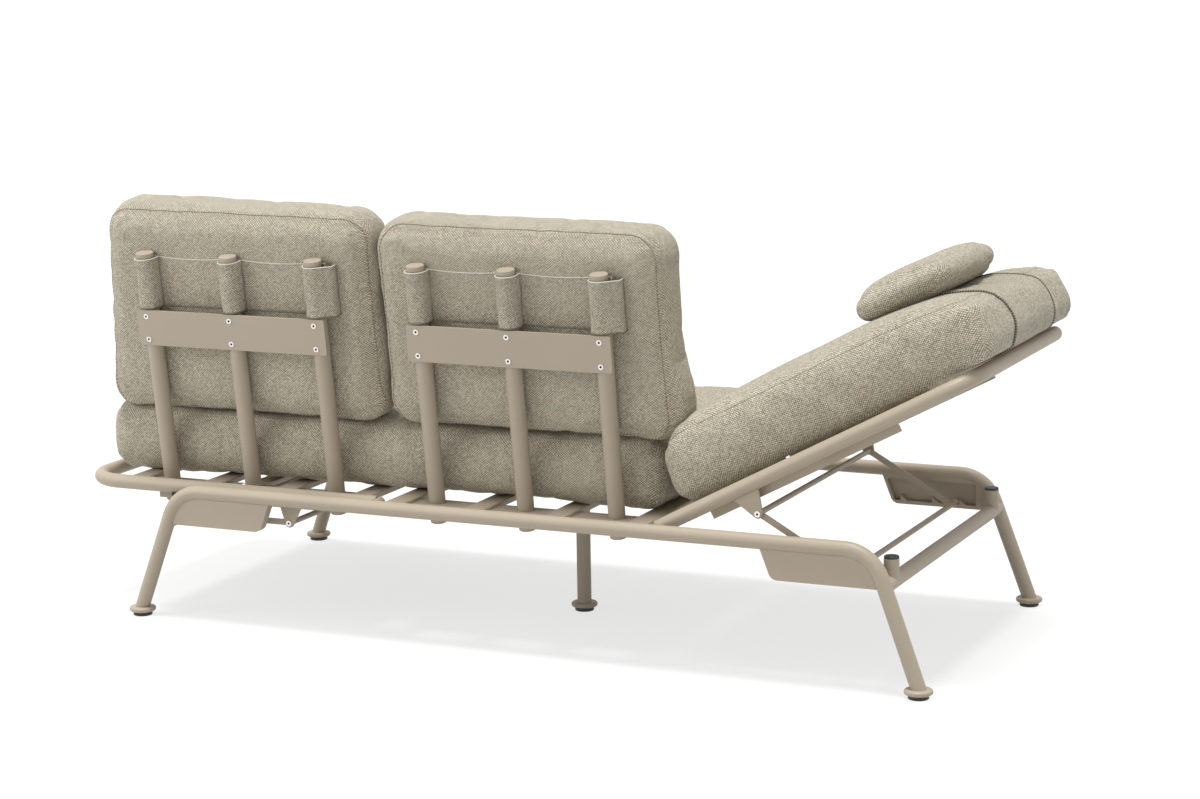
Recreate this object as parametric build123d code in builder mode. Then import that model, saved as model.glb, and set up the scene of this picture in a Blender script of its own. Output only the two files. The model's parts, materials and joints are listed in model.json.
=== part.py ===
from build123d import *
import os
from math import cos, radians, sin, tan

# Double chaise lounger: a long tube frame on five feet, whose two ends are tilting recliners.
# The left end (+X) lies flat and carries a back unit, the right end (-X) stands raised.
# X runs along the seat, +Y is the rear, where the back units stand, and Z is up.
# The origin is on the floor, under the centre leg.

os.makedirs("parts", exist_ok=True)

# Clearances
weld_gap = 0.15
seat_gap = 0.3
cushion_gap = 0.7
pin_clearance = 0.05
cut_overrun = 20.0

# Tubes of the frame
tube_diameter = 32.0
tube_wall = 2.5
rail_spacing = 780.0
rail_height = 293.0
rail_corner_spacing = 1640.0
foot_spacing = 1842.0
foot_splay = 8.0
leg_bend_radius = 85.0

# Feet
pad_diameter = 43.0
pad_thickness = 9.0
pad_edge = 1.0
flange_diameter = 59.5
flange_thickness = 10.5
flange_round_share = 0.45

# End cross tubes and the stop posts that the recliner arms come down on
end_tube_height = 222.0
stop_cap_thickness = 5.0
stop_cap_diameter = 31.0
stop_plug_depth = 8.0

# Deck: slats across the frame, pressed as open channels, on two lengthwise strips
slat_pitch = 192.0
slat_width = 48.0
slat_depth = 12.5
slat_sheet = 2.5
slat_edge_radius = 3.0
slat_inner_radius = 1.0
slat_top = 7.0
strip_y = 291.0
strip_width = 57.0
strip_thickness = 5.0
strip_hole_clearance = 0.6
centre_slats = 4
recliner_slats = 4
centre_beam_side = 30.0
centre_beam_wall = 2.5

# Recliners
hinge_spacing = 668.8
arm_spacing = 694.0
recliner_length = 758.5
recliner_bend_radius = 90.0
first_slat_from_hinge = 60.0
raised_angle = 27.6
vent_diameter = 5.0
arm_screw_diameter = 11.0
arm_screw_height = 3.0
arm_screw_from_hinge = 336.0

# Hinge pins
hinge_pin_diameter = 12.0
hinge_head_diameter = 13.5
hinge_head_thickness = 3.0
hinge_collar_diameter = 22.0
hinge_eye_diameter = 24.0

# Stay: the folding prop under each recliner
stay_pivot_out = 221.0
stay_pivot_drop = 62.0
stay_strip_width = 13.0
stay_strip_thickness = 4.0
stay_rod_diameter = 12.0
stay_bolt_diameter = 8.0
stay_head_diameter = 13.0
stay_head_thickness = 3.0
stay_socket_diameter = 5.0
stay_socket_depth = 2.0
bracket_thickness = 6.0
bracket_outboard = 5.0
bracket_tip_diameter = 20.0
bracket_top_width = 60.0
bracket_lead = 5.0
bracket_side_gap = 0.5
arm_bar_start = 115.0
arm_bar_length = 460.0
arm_bar_depth = 28.5
arm_bar_thickness = 4.0
arm_bar_inboard = 22.5
brace_width = 31.0
brace_from_hinge = 348.0

# Ratchet plates, hung inside the bend of each leg
ratchet_thickness = 22.0
ratchet_outboard = 8.0
ratchet_web = 6.0
ratchet_reach_top = 245.0
ratchet_reach_bottom = 215.0
ratchet_drop = 77.0
ratchet_nose_radius = 20.0
pocket_wall = 8.0
pocket_nose_wall = 7.0
pocket_end_inset = 19.0
pocket_top_drop = 19.0
pocket_corner_radius = 5.0
tooth_faces = (197.0, 122.0, 58.5)
tooth_height = 13.2
tooth_run = 15.0
rod_rest_gap = 0.6

# Back units
post_diameter = 37.0
post_wall = 2.5
post_pitch = 215.0
post_lean = 8.0
post_below = 40.0
post_above = 528.0
post_cap_diameter = 40.0
post_cap_thickness = 10.0
post_cap_edge = 2.5
post_plug_thickness = 5.0
post_plug_edge = 3.0
post_plug_depth = 10.0
left_unit_x = 681.0
back_plate_width = 480.0
back_plate_height = 81.0
back_plate_thickness = 4.0
back_plate_centre = 369.0
back_plate_corner = 5.0
plate_screw_edge = 14.0
plate_screw_diameter = 12.0
plate_screw_height = 2.0
plate_socket_diameter = 5.5
plate_socket_depth = 1.5
sleeve_thickness = 7.0
sleeve_length = 112.0
sleeve_drop = 2.0
sleeve_gap = 0.5

# Cushions
cushion_draw = 6.0
cushion_corner_radius = 48.0
back_cushion_thickness = 138.0
back_cushion_height = 484.0
back_cushion_base = 155.0
back_edge_round = 42.0
left_back_start = 338.0
left_back_width = 706.0
left_back_taper = 28.0
centre_back_start = -346.0
centre_back_width = 678.0
seat_cushion_thickness = 160.0
seat_cushion_start = -350.0
seat_cushion_length = 1419.0
seat_cushion_rear = 272.0
seat_cushion_depth = 628.0
seat_edge_round = 90.0
chaise_cushion_start = 54.0
chaise_cushion_lean = 0.25
chaise_cushion_length = 770.0
chaise_cushion_width = 650.0
chaise_cushion_thickness = 174.0
band_width = 281.0
band_thickness = 2.6
pillow_width = 400.0
pillow_depth = 226.0
pillow_thickness = 72.0
pillow_start = 534.0
pillow_edge_round = 42.0
pillow_corner_radius = 45.0
back_level_shares = (0.0, 0.05, 0.15, 0.5, 0.85, 0.95, 1.0)
back_inset_shares = (1.0, 0.36, 0.06, 0.0, 0.06, 0.36, 1.0)
seat_level_shares = (0.0, 0.06, 0.18, 0.5, 0.8, 0.92, 1.0)
seat_inset_shares = (0.36, 0.12, 0.02, 0.0, 0.04, 0.2, 1.0)

# Derived sizes
tube_radius = tube_diameter / 2
rail_y = rail_spacing / 2
corner_x = rail_corner_spacing / 2
foot_x = foot_spacing / 2
foot_y = rail_y + foot_splay
flange_top = pad_thickness + flange_thickness
leg_drop = rail_height - flange_top
hinge_x = hinge_spacing / 2
arm_y = arm_spacing / 2
stop_cap_top = rail_height - tube_radius - seat_gap
strip_bottom = slat_top - slat_depth
strip_top = strip_bottom + strip_thickness
post_radius = post_diameter / 2
rod_radius = stay_rod_diameter / 2
floor_of_pocket = rail_height - ratchet_drop + pocket_wall
rod_height = floor_of_pocket + rod_radius + rod_rest_gap
ratchet_outer_y = rail_y + ratchet_outboard
ratchet_inner_y = ratchet_outer_y - ratchet_thickness


def leg_x(height):
    """Distance of a leg's axis from the middle of the frame, along X, at a height."""
    return corner_x + (rail_height - height) * (foot_x - corner_x) / leg_drop


def leg_y(height):
    """Distance of a leg's axis from the middle of the frame, along Y, at a height."""
    return rail_y + (rail_height - height) * foot_splay / leg_drop


def rail_points(side):
    """Corners of the bent tube that makes two legs and the rail between them."""
    return [
        (-leg_x(pad_thickness), side * leg_y(pad_thickness), pad_thickness),
        (-corner_x, side * rail_y, rail_height),
        (corner_x, side * rail_y, rail_height),
        (leg_x(pad_thickness), side * leg_y(pad_thickness), pad_thickness),
    ]


def sweep_tube(points, bend_radius, radius, bore=0.0, mode=Mode.ADD):
    """Sweep a round bar, or a tube where a bore is given, along straight runs and bends."""
    with BuildLine() as path:
        FilletPolyline(*points, radius=bend_radius)
    start = Plane(origin=path.wire() @ 0, z_dir=path.wire() % 0)
    with BuildSketch(start) as section:
        Circle(radius)
        if bore > 0:
            Circle(bore, mode=Mode.SUBTRACT)
    sweep(sections=section.sketch, path=path.wire(), mode=mode)


def save(piece, name):
    """Label a finished piece and write its STEP file."""
    piece.part.label = name
    export_step(piece.part, "parts/" + name + ".step")


# Deck planes: x runs out along the deck, y across it, and z stands square to it.
centre_deck = Plane((0, 0, rail_height))
left_deck = Plane((hinge_x, 0, rail_height))
rise = radians(raised_angle)
right_deck = Plane((-hinge_x, 0, rail_height), x_dir=(-cos(rise), 0, sin(rise)), z_dir=(sin(rise), 0, cos(rise)))
ends = {"left": left_deck, "right": right_deck}
sides = {"rear": 1, "front": -1}


def cut_plane(deck, across=0.0):
    """The upright plane along a deck: x out along the deck, y square to it."""
    return Plane(deck.origin + deck.y_dir * across, x_dir=deck.x_dir, z_dir=-deck.y_dir)


# Side frames: legs and rail bent from one tube
for side_name, side in sides.items():
    with BuildPart() as side_frame:
        sweep_tube(rail_points(side), leg_bend_radius, tube_radius, tube_radius - tube_wall)
        split(bisect_by=Plane.XY.offset(flange_top), keep=Keep.TOP)
    save(side_frame, side_name + "_side_frame")

# Feet: a round-edged flange on each leg, over a rubber pad
foot_places = [(x * foot_x, y * foot_y) for x in (-1, 1) for y in (-1, 1)] + [(0, 0)]
with BuildPart() as foot_flanges:
    with BuildSketch(Plane.XY.offset(pad_thickness)):
        with Locations(*foot_places):
            Circle(flange_diameter / 2)
    extrude(amount=flange_thickness)
    fillet(foot_flanges.edges(), radius=flange_thickness * flange_round_share)
save(foot_flanges, "foot_flanges")

with BuildPart() as foot_pads:
    with BuildSketch():
        with Locations(*foot_places):
            Circle(pad_diameter / 2)
    extrude(amount=pad_thickness)
    chamfer(foot_pads.edges().group_by(Axis.Z)[0], length=pad_edge)
save(foot_pads, "foot_pads")

# End cross tubes, coped to the legs
for end_name, end in (("left", 1), ("right", -1)):
    with BuildPart() as end_tube:
        with BuildSketch(Plane.XZ):
            with Locations((end * leg_x(end_tube_height), end_tube_height)):
                Circle(tube_radius)
                Circle(tube_radius - tube_wall, mode=Mode.SUBTRACT)
        extrude(amount=leg_y(end_tube_height), both=True)
        for side in sides.values():
            sweep_tube(rail_points(side), leg_bend_radius, tube_radius + weld_gap, mode=Mode.SUBTRACT)
    save(end_tube, end_name + "_end_tube")

# Stop posts, coped over the end tubes, and their rubber caps
stop_places = [(x * leg_x(end_tube_height), y * arm_y) for x in (-1, 1) for y in (-1, 1)]
stop_post_top = stop_cap_top - stop_cap_thickness
with BuildPart() as stop_posts:
    with BuildSketch(Plane.XY.offset(end_tube_height)):
        with Locations(*stop_places):
            Circle(tube_radius)
            Circle(tube_radius - tube_wall, mode=Mode.SUBTRACT)
    extrude(amount=stop_post_top - end_tube_height)
    with BuildSketch(Plane.XZ) as end_tube_outlines:
        with Locations((-leg_x(end_tube_height), end_tube_height), (leg_x(end_tube_height), end_tube_height)):
            Circle(tube_radius + weld_gap)
    extrude(amount=rail_y, both=True, mode=Mode.SUBTRACT)
save(stop_posts, "stop_posts")

with BuildPart() as stop_caps:
    with BuildSketch(Plane.XY.offset(stop_post_top)):
        with Locations(*stop_places):
            Circle(stop_cap_diameter / 2)
    extrude(amount=stop_cap_thickness)
    with BuildSketch(Plane.XY.offset(stop_post_top)):
        with Locations(*stop_places):
            Circle(tube_radius - tube_wall - weld_gap)
    extrude(amount=-stop_plug_depth)
    chamfer(stop_caps.edges().group_by(Axis.Z)[-1], length=pad_edge)
save(stop_caps, "stop_caps")

# Ratchet plates: a solid outer face, and inside it a pocket whose floor has three teeth
plate_bottom = rail_height - ratchet_drop
for side_name, side in sides.items():
    for end_name, end in (("left", 1), ("right", -1)):
        outline = [
            (end * (corner_x - ratchet_reach_top), rail_height),
            (end * (corner_x - ratchet_reach_bottom), plate_bottom),
            (end * leg_x(plate_bottom), plate_bottom),
            (end * corner_x, rail_height),
        ]
        # The pocket's nose follows the plate's slanted end, one nose wall inside it.
        nose_slope = (ratchet_reach_top - ratchet_reach_bottom) / ratchet_drop
        pocket_top = rail_height - pocket_top_drop
        nose_top = corner_x - ratchet_reach_top + pocket_top_drop * nose_slope + pocket_nose_wall
        nose_foot = corner_x - ratchet_reach_bottom - pocket_wall * nose_slope + pocket_nose_wall
        pocket = [(end * nose_top, pocket_top), (end * nose_foot, floor_of_pocket)]
        for face in tooth_faces:
            pocket.append((end * (corner_x - face), floor_of_pocket))
            pocket.append((end * (corner_x - face), floor_of_pocket + tooth_height))
            pocket.append((end * (corner_x - face + tooth_run), floor_of_pocket))
        pocket.append((end * (corner_x - pocket_end_inset), floor_of_pocket))
        pocket.append((end * (corner_x - pocket_end_inset), pocket_top))
        with BuildPart() as ratchet:
            with BuildSketch(Plane.XZ.offset(-side * ratchet_outer_y)) as plate_outline:
                with BuildLine():
                    Polyline(*outline, close=True)
                make_face()
                nose = plate_outline.vertices().group_by(Axis.Y)[0].sort_by(Axis.X)[0 if end > 0 else -1]
                fillet(nose, radius=ratchet_nose_radius)
                bend = plate_outline.vertices().group_by(Axis.Y)[-1].sort_by(Axis.X)[-1 if end > 0 else 0]
                fillet(bend, radius=leg_bend_radius)
            extrude(amount=side * ratchet_thickness)
            with BuildSketch(Plane.XZ.offset(-side * ratchet_inner_y)) as pocket_outline:
                with BuildLine():
                    Polyline(*pocket, close=True)
                make_face()
                tops = pocket_outline.vertices().group_by(Axis.Y)[-1]
                fillet(tops, radius=pocket_corner_radius)
            extrude(amount=-side * (ratchet_thickness - ratchet_web), mode=Mode.SUBTRACT)
            sweep_tube(rail_points(side), leg_bend_radius, tube_radius + weld_gap, mode=Mode.SUBTRACT)
            with BuildSketch(Plane.XZ):
                with Locations((end * leg_x(end_tube_height), end_tube_height)):
                    Circle(tube_radius + weld_gap)
            extrude(amount=rail_spacing, both=True, mode=Mode.SUBTRACT)
        save(ratchet, side_name + "_" + end_name + "_ratchet")


def slat(deck, out, half_length):
    """A slat: a shallow channel, open below, notched over the two strips."""
    with BuildPart() as channel:
        with BuildSketch(cut_plane(deck)) as profile:
            with Locations((out, slat_top)):
                Rectangle(slat_width, slat_depth, align=(Align.CENTER, Align.MAX))
                fillet(profile.vertices().group_by(Axis.Y)[-1], radius=slat_edge_radius)
            with Locations((out, slat_top - slat_sheet)):
                Rectangle(
                    slat_width - 2 * slat_sheet,
                    slat_depth - slat_sheet,
                    align=(Align.CENTER, Align.MAX),
                    mode=Mode.SUBTRACT,
                )
        extrude(amount=half_length, both=True)
        for across in (-strip_y, strip_y):
            with BuildSketch(Plane(deck.origin + deck.y_dir * across, x_dir=deck.x_dir, z_dir=deck.z_dir).offset(strip_top)):
                with Locations((out, 0)):
                    Rectangle(slat_width, strip_width + 2 * weld_gap)
            extrude(amount=-slat_depth, mode=Mode.SUBTRACT)
    return channel


def post_axis(x):
    """The plane across a back post where it passes the strip; z runs up the post."""
    lean = radians(post_lean)
    return Plane((x, strip_y, rail_height + strip_top), x_dir=(1, 0, 0), z_dir=(0, sin(lean), cos(lean)))


def strips(deck, start, finish, post_places, brace=None):
    """The two lengthwise strips of a deck, the rear one with holes for the posts, and any brace between."""
    with BuildPart() as pair:
        if brace is not None:
            with BuildSketch(deck.offset(strip_top)):
                with Locations((brace, 0)):
                    Rectangle(brace_width, 2 * strip_y - strip_width - 2 * weld_gap)
            extrude(amount=-strip_thickness)
        for across in (-strip_y, strip_y):
            with BuildSketch(Plane(deck.origin + deck.y_dir * across, x_dir=deck.x_dir, z_dir=deck.z_dir).offset(strip_top)):
                with Locations(((start + finish) / 2, 0)):
                    Rectangle(finish - start, strip_width)
            extrude(amount=-strip_thickness)
        for place in post_places:
            with BuildSketch(place.offset(-cut_overrun)):
                Circle(post_radius + strip_hole_clearance)
            extrude(amount=2 * cut_overrun, mode=Mode.SUBTRACT)
    return pair


# Centre deck
centre_slat_places = [slat_pitch * (i - (centre_slats - 1) / 2) for i in range(centre_slats)]
for number, place in enumerate(centre_slat_places, start=1):
    save(slat(centre_deck, place, rail_y - tube_radius - seat_gap), "centre_slat_" + str(number))
centre_half = centre_slat_places[-1] + slat_width / 2
centre_posts = [post_axis(post_pitch * i) for i in (-1, 0, 1)]
save(strips(centre_deck, -centre_half, centre_half, centre_posts), "centre_strips")

# Centre beam under the slats, and the centre leg that carries it
beam_top = rail_height + strip_bottom
with BuildPart() as centre_beam:
    with BuildSketch(Plane.YZ):
        with Locations((0, beam_top)):
            Rectangle(centre_beam_side, centre_beam_side, align=(Align.CENTER, Align.MAX))
        with Locations((0, beam_top - centre_beam_wall)):
            Rectangle(
                centre_beam_side - 2 * centre_beam_wall,
                centre_beam_side - 2 * centre_beam_wall,
                align=(Align.CENTER, Align.MAX),
                mode=Mode.SUBTRACT,
            )
    extrude(amount=centre_half, both=True)
save(centre_beam, "centre_beam")

with BuildPart() as centre_leg:
    with BuildSketch(Plane.XY.offset(flange_top)):
        Circle(tube_radius)
        Circle(tube_radius - tube_wall, mode=Mode.SUBTRACT)
    extrude(amount=beam_top - centre_beam_side - flange_top)
save(centre_leg, "centre_leg")

# Hinge pins: a collar on the rail, a shaft through the arm's eye and a head inside it
pin_head_face = arm_y - tube_radius - seat_gap
collar_face = arm_y + tube_radius + seat_gap
with BuildPart() as hinge_pins:
    for side in sides.values():
        for end in (-1, 1):
            with BuildSketch(Plane.XZ.offset(-side * (pin_head_face - hinge_head_thickness))):
                with Locations((end * hinge_x, rail_height)):
                    Circle(hinge_head_diameter / 2)
            extrude(amount=-side * hinge_head_thickness)
            with BuildSketch(Plane.XZ.offset(-side * pin_head_face)):
                with Locations((end * hinge_x, rail_height)):
                    Circle(hinge_pin_diameter / 2)
            extrude(amount=-side * (collar_face - pin_head_face))
            with BuildSketch(Plane.XZ.offset(-side * collar_face)):
                with Locations((end * hinge_x, rail_height)):
                    Circle(hinge_collar_diameter / 2)
            extrude(amount=-side * (rail_y - tube_radius - seat_gap - collar_face))
save(hinge_pins, "hinge_pins")


def recliner_points(deck, start=0.0):
    """Corners of the U-shaped tube of a recliner, whose arms begin at a distance from the hinge."""
    corners = [(start, -arm_y), (recliner_length, -arm_y), (recliner_length, arm_y), (start, arm_y)]
    return [deck.from_local_coords((out, across, 0)) for out, across in corners]


def recliner_frame(deck):
    """The U-shaped tube of a recliner, with a bored eye across the end of each arm."""
    with BuildPart() as frame:
        sweep_tube(recliner_points(deck), recliner_bend_radius, tube_radius, tube_radius - tube_wall)
        for across in (-arm_y, arm_y):
            with BuildSketch(cut_plane(deck, across)):
                Circle(hinge_eye_diameter / 2)
            extrude(amount=tube_radius - seat_gap, both=True)
        with BuildSketch(cut_plane(deck)):
            Circle(hinge_pin_diameter / 2 + pin_clearance)
        extrude(amount=arm_y + tube_radius + cut_overrun, both=True, mode=Mode.SUBTRACT)
        with BuildSketch(deck):
            with Locations((recliner_length, 0)):
                Circle(vent_diameter / 2)
        extrude(amount=-tube_diameter, mode=Mode.SUBTRACT)
    return frame


def arm_cutter(deck):
    """The two straight arms as bars, to cope what is welded under them."""
    for across in (-arm_y, arm_y):
        with BuildSketch(Plane(deck.origin + deck.y_dir * across, x_dir=deck.y_dir, z_dir=deck.x_dir)) as bar:
            Circle(tube_radius + weld_gap)
        extrude(to_extrude=bar.sketch, amount=recliner_length, mode=Mode.SUBTRACT)


def stay_brackets(deck):
    """Plates under the arms that carry the stay's pivots."""
    with BuildPart() as pair:
        for across in (-1, 1):
            centre = across * (arm_y + bracket_outboard - bracket_thickness / 2)
            with BuildSketch(cut_plane(deck, centre)):
                with Locations((stay_pivot_out, -stay_pivot_drop)):
                    Circle(bracket_tip_diameter / 2)
                with Locations((stay_pivot_out - bracket_lead, -tube_radius / 2)):
                    Rectangle(bracket_top_width, tube_radius)
                make_hull()
                with Locations((stay_pivot_out, -stay_pivot_drop)):
                    Circle(stay_bolt_diameter / 2 + pin_clearance, mode=Mode.SUBTRACT)
            extrude(amount=bracket_thickness / 2, both=True)
        arm_cutter(deck)
    return pair


def arm_bars(deck):
    """Flat bars under the ends of the slats, along the inside of the arms."""
    with BuildPart() as pair:
        for across in (-1, 1):
            centre = across * (arm_y - arm_bar_inboard)
            with BuildSketch(cut_plane(deck, centre)):
                with Locations((arm_bar_start + arm_bar_length / 2, strip_bottom)):
                    Rectangle(arm_bar_length, arm_bar_depth, align=(Align.CENTER, Align.MAX))
            extrude(amount=arm_bar_thickness / 2, both=True)
    return pair


stay_strip_y = arm_y + bracket_outboard - bracket_thickness - bracket_side_gap - stay_strip_thickness / 2
stay_inner_y = stay_strip_y - stay_strip_thickness / 2


def stay_bolts(deck):
    """Shoulder bolts through the brackets, with a round socket in each head."""
    outer = arm_y + bracket_outboard
    with BuildPart() as pair:
        for across in (-1, 1):
            head = cut_plane(deck, across * outer)
            with BuildSketch(head):
                with Locations((stay_pivot_out, -stay_pivot_drop)):
                    Circle(stay_head_diameter / 2)
            extrude(amount=-across * stay_head_thickness)
            with BuildSketch(head.offset(-across * stay_head_thickness)):
                with Locations((stay_pivot_out, -stay_pivot_drop)):
                    Circle(stay_socket_diameter / 2)
            extrude(amount=across * stay_socket_depth, mode=Mode.SUBTRACT)
            with BuildSketch(head):
                with Locations((stay_pivot_out, -stay_pivot_drop)):
                    Circle(stay_bolt_diameter / 2)
            extrude(amount=across * (outer - stay_inner_y))
    return pair


def arm_screws(deck):
    """Low domed screws on top of the arms, at the hinge and half way along."""
    with BuildPart() as heads:
        for across in (-arm_y, arm_y):
            with BuildSketch(deck.offset(tube_radius - arm_screw_height)):
                with Locations((arm_screw_from_hinge, across)):
                    Circle(arm_screw_diameter / 2)
            extrude(amount=2 * arm_screw_height)
        fillet(heads.edges().sort_by(Axis(deck.origin, deck.z_dir))[-2:], radius=arm_screw_height * flange_round_share)
        arm_cutter(deck)
    return heads


# The stay hangs from the brackets, and its lower rod lies behind the outermost tooth when raised.
rod_from_corner = tooth_faces[-1] + rod_radius + rod_rest_gap
right_pivot = right_deck.from_local_coords((stay_pivot_out, 0, -stay_pivot_drop))
raised_rod = Vector(-(corner_x - rod_from_corner), 0, rod_height)
stay_length = (raised_rod - right_pivot).length
left_pivot = left_deck.from_local_coords((stay_pivot_out, 0, -stay_pivot_drop))
flat_rise = rod_height - left_pivot.Z
flat_rod = Vector(left_pivot.X + (stay_length**2 - flat_rise**2) ** 0.5, 0, rod_height)
stay_ends = {"left": (left_pivot, flat_rod), "right": (right_pivot, raised_rod)}


def stay_plane(pivot, rod, across=0.0):
    """The upright plane along a stay, with its origin at the pivot and x towards the rod."""
    along = (rod - pivot).normalized()
    return Plane(pivot + Vector(0, 1, 0) * across, x_dir=along, z_dir=(0, 1, 0))


def stay_strips(pivot, rod):
    """The two flat arms of a stay."""
    with BuildPart() as pair:
        for across in (-stay_strip_y, stay_strip_y):
            with BuildSketch(stay_plane(pivot, rod, across)):
                with Locations((stay_length / 2, 0)):
                    SlotCenterToCenter(stay_length, stay_strip_width)
                Circle(stay_bolt_diameter / 2 + pin_clearance, mode=Mode.SUBTRACT)
                with Locations((stay_length, 0)):
                    Circle(rod_radius + weld_gap, mode=Mode.SUBTRACT)
            extrude(amount=stay_strip_thickness / 2, both=True)
    return pair


def stay_rods(pivot, rod):
    """The short rod between the pivots and the long rod that drops behind the teeth."""
    with BuildPart() as pair:
        with BuildSketch(stay_plane(pivot, rod)):
            Circle(rod_radius)
        extrude(amount=stay_inner_y - weld_gap, both=True)
        with BuildSketch(stay_plane(pivot, rod)):
            with Locations((stay_length, 0)):
                Circle(rod_radius)
        extrude(amount=ratchet_inner_y - rod_rest_gap, both=True)
    return pair


# Recliners, one at each end
recliner_slat_places = [first_slat_from_hinge + slat_pitch * i for i in range(recliner_slats)]
strip_start = recliner_slat_places[0] - slat_width / 2
strip_finish = recliner_slat_places[-1] + slat_width / 2
left_posts = [post_axis(left_unit_x + post_pitch * i) for i in (-1, 0, 1)]
for end_name, deck in ends.items():
    save(recliner_frame(deck), end_name + "_recliner_frame")
    for number, place in enumerate(recliner_slat_places, start=1):
        save(slat(deck, place, arm_y - tube_radius - seat_gap), end_name + "_slat_" + str(number))
    posts_here = left_posts if end_name == "left" else []
    save(strips(deck, strip_start, strip_finish, posts_here, brace_from_hinge), end_name + "_strips")
    save(stay_brackets(deck), end_name + "_stay_brackets")
    save(arm_bars(deck), end_name + "_arm_bars")
    save(stay_bolts(deck), end_name + "_stay_bolts")
    save(arm_screws(deck), end_name + "_arm_screws")
    save(stay_strips(*stay_ends[end_name]), end_name + "_stay_strips")
    save(stay_rods(*stay_ends[end_name]), end_name + "_stay_rods")

# Back units: three leaning posts, a plate screwed across them, and the sleeves of the cushion
plugs_and_caps = left_posts + centre_posts
with BuildPart() as post_caps:
    for place in plugs_and_caps:
        with BuildSketch(place.offset(post_above)):
            Circle(post_cap_diameter / 2)
        extrude(amount=post_cap_thickness)
    tops = [cap.edges().group_by(Axis(plugs_and_caps[0].origin, plugs_and_caps[0].z_dir))[-1][0] for cap in post_caps.solids()]
    fillet(tops, radius=post_cap_edge)
save(post_caps, "post_caps")

with BuildPart() as post_plugs:
    for place in plugs_and_caps:
        with BuildSketch(place.offset(-post_below)):
            Circle(post_radius)
        extrude(amount=-post_plug_thickness)
    bottoms = [plug.edges().group_by(Axis(plugs_and_caps[0].origin, plugs_and_caps[0].z_dir))[0][0] for plug in post_plugs.solids()]
    fillet(bottoms, radius=post_plug_edge)
    for place in plugs_and_caps:
        with BuildSketch(place.offset(-post_below)):
            Circle(post_radius - post_wall - weld_gap)
        extrude(amount=post_plug_depth)
save(post_plugs, "post_plugs")

for unit_name, unit_x, places in (("left", left_unit_x, left_posts), ("centre", 0, centre_posts)):
    with BuildPart() as posts:
        for place in places:
            with BuildSketch(place.offset(-post_below)):
                Circle(post_radius)
                Circle(post_radius - post_wall, mode=Mode.SUBTRACT)
            extrude(amount=post_below + post_above)
    save(posts, unit_name + "_back_posts")

    # The back plane faces the rear: x along the seat, y up the posts.
    middle = post_axis(unit_x)
    rear_face = Plane(middle.origin + middle.y_dir * (post_radius + weld_gap), x_dir=(-1, 0, 0), z_dir=middle.y_dir)
    screw_rows = back_plate_height / 2 - plate_screw_edge
    screw_places = [
        (post_pitch * i, back_plate_centre + row * screw_rows) for i in (-1, 0, 1) for row in (-1, 1)
    ]
    with BuildPart() as back_plate:
        with BuildSketch(rear_face):
            with Locations((0, back_plate_centre)):
                RectangleRounded(back_plate_width, back_plate_height, back_plate_corner)
        extrude(amount=back_plate_thickness)
    save(back_plate, unit_name + "_back_plate")

    with BuildPart() as plate_screws:
        with BuildSketch(rear_face.offset(back_plate_thickness)):
            with Locations(*screw_places):
                Circle(plate_screw_diameter / 2)
        extrude(amount=plate_screw_height)
        with BuildSketch(rear_face.offset(back_plate_thickness + plate_screw_height)):
            with Locations(*screw_places):
                Circle(plate_socket_diameter / 2)
        extrude(amount=-plate_socket_depth, mode=Mode.SUBTRACT)
    save(plate_screws, unit_name + "_plate_screws")

    with BuildPart() as sleeves:
        sleeve_radius = post_radius + sleeve_gap + sleeve_thickness
        for place in places:
            with BuildSketch(place.offset(post_above - sleeve_drop)) as ring:
                Circle(sleeve_radius)
                Circle(post_radius + sleeve_gap, mode=Mode.SUBTRACT)
                with Locations((0, -post_cap_diameter / 2)):
                    Rectangle(2 * sleeve_radius, 2 * sleeve_radius, align=(Align.CENTER, Align.MAX), mode=Mode.SUBTRACT)
            extrude(amount=-sleeve_length)
    save(sleeves, unit_name + "_sleeves")


def pillow_form(base, width, depth, thickness, corner, edge_round, levels, insets, outset=0.0, lean=0.0, taper=0.0):
    """A crowned cushion: stacked outlines whose sides are drawn in, lofted into one skin.

    A lean moves the near end in as the levels rise, and a taper narrows the far corner.
    """
    sections = []
    for level, inset in zip(levels, insets):
        lift = thickness * level + outset * (2 * level - 1)
        shift = lean * lift / 2
        half_width = width / 2 - edge_round * inset + outset - shift
        half_depth = depth / 2 - edge_round * inset + outset
        narrow = half_width - taper
        level_plane = Plane(base.origin + base.x_dir * shift + base.z_dir * lift, x_dir=base.x_dir, z_dir=base.z_dir)
        with BuildSketch(level_plane) as outline:
            with BuildLine():
                ThreePointArc((-half_width, -half_depth), (0, cushion_draw - half_depth), (half_width, -half_depth))
                waist = (half_width + narrow) / 2 - cushion_draw
                ThreePointArc((half_width, -half_depth), (waist, 0), (narrow, half_depth))
                ThreePointArc((narrow, half_depth), (-taper / 2, half_depth - cushion_draw), (-half_width, half_depth))
                ThreePointArc((-half_width, half_depth), (cushion_draw - half_width, 0), (-half_width, -half_depth))
            make_face()
            fillet(outline.vertices(), radius=corner)
        sections.append(outline.sketch.face())
    return loft(sections=sections)


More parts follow.
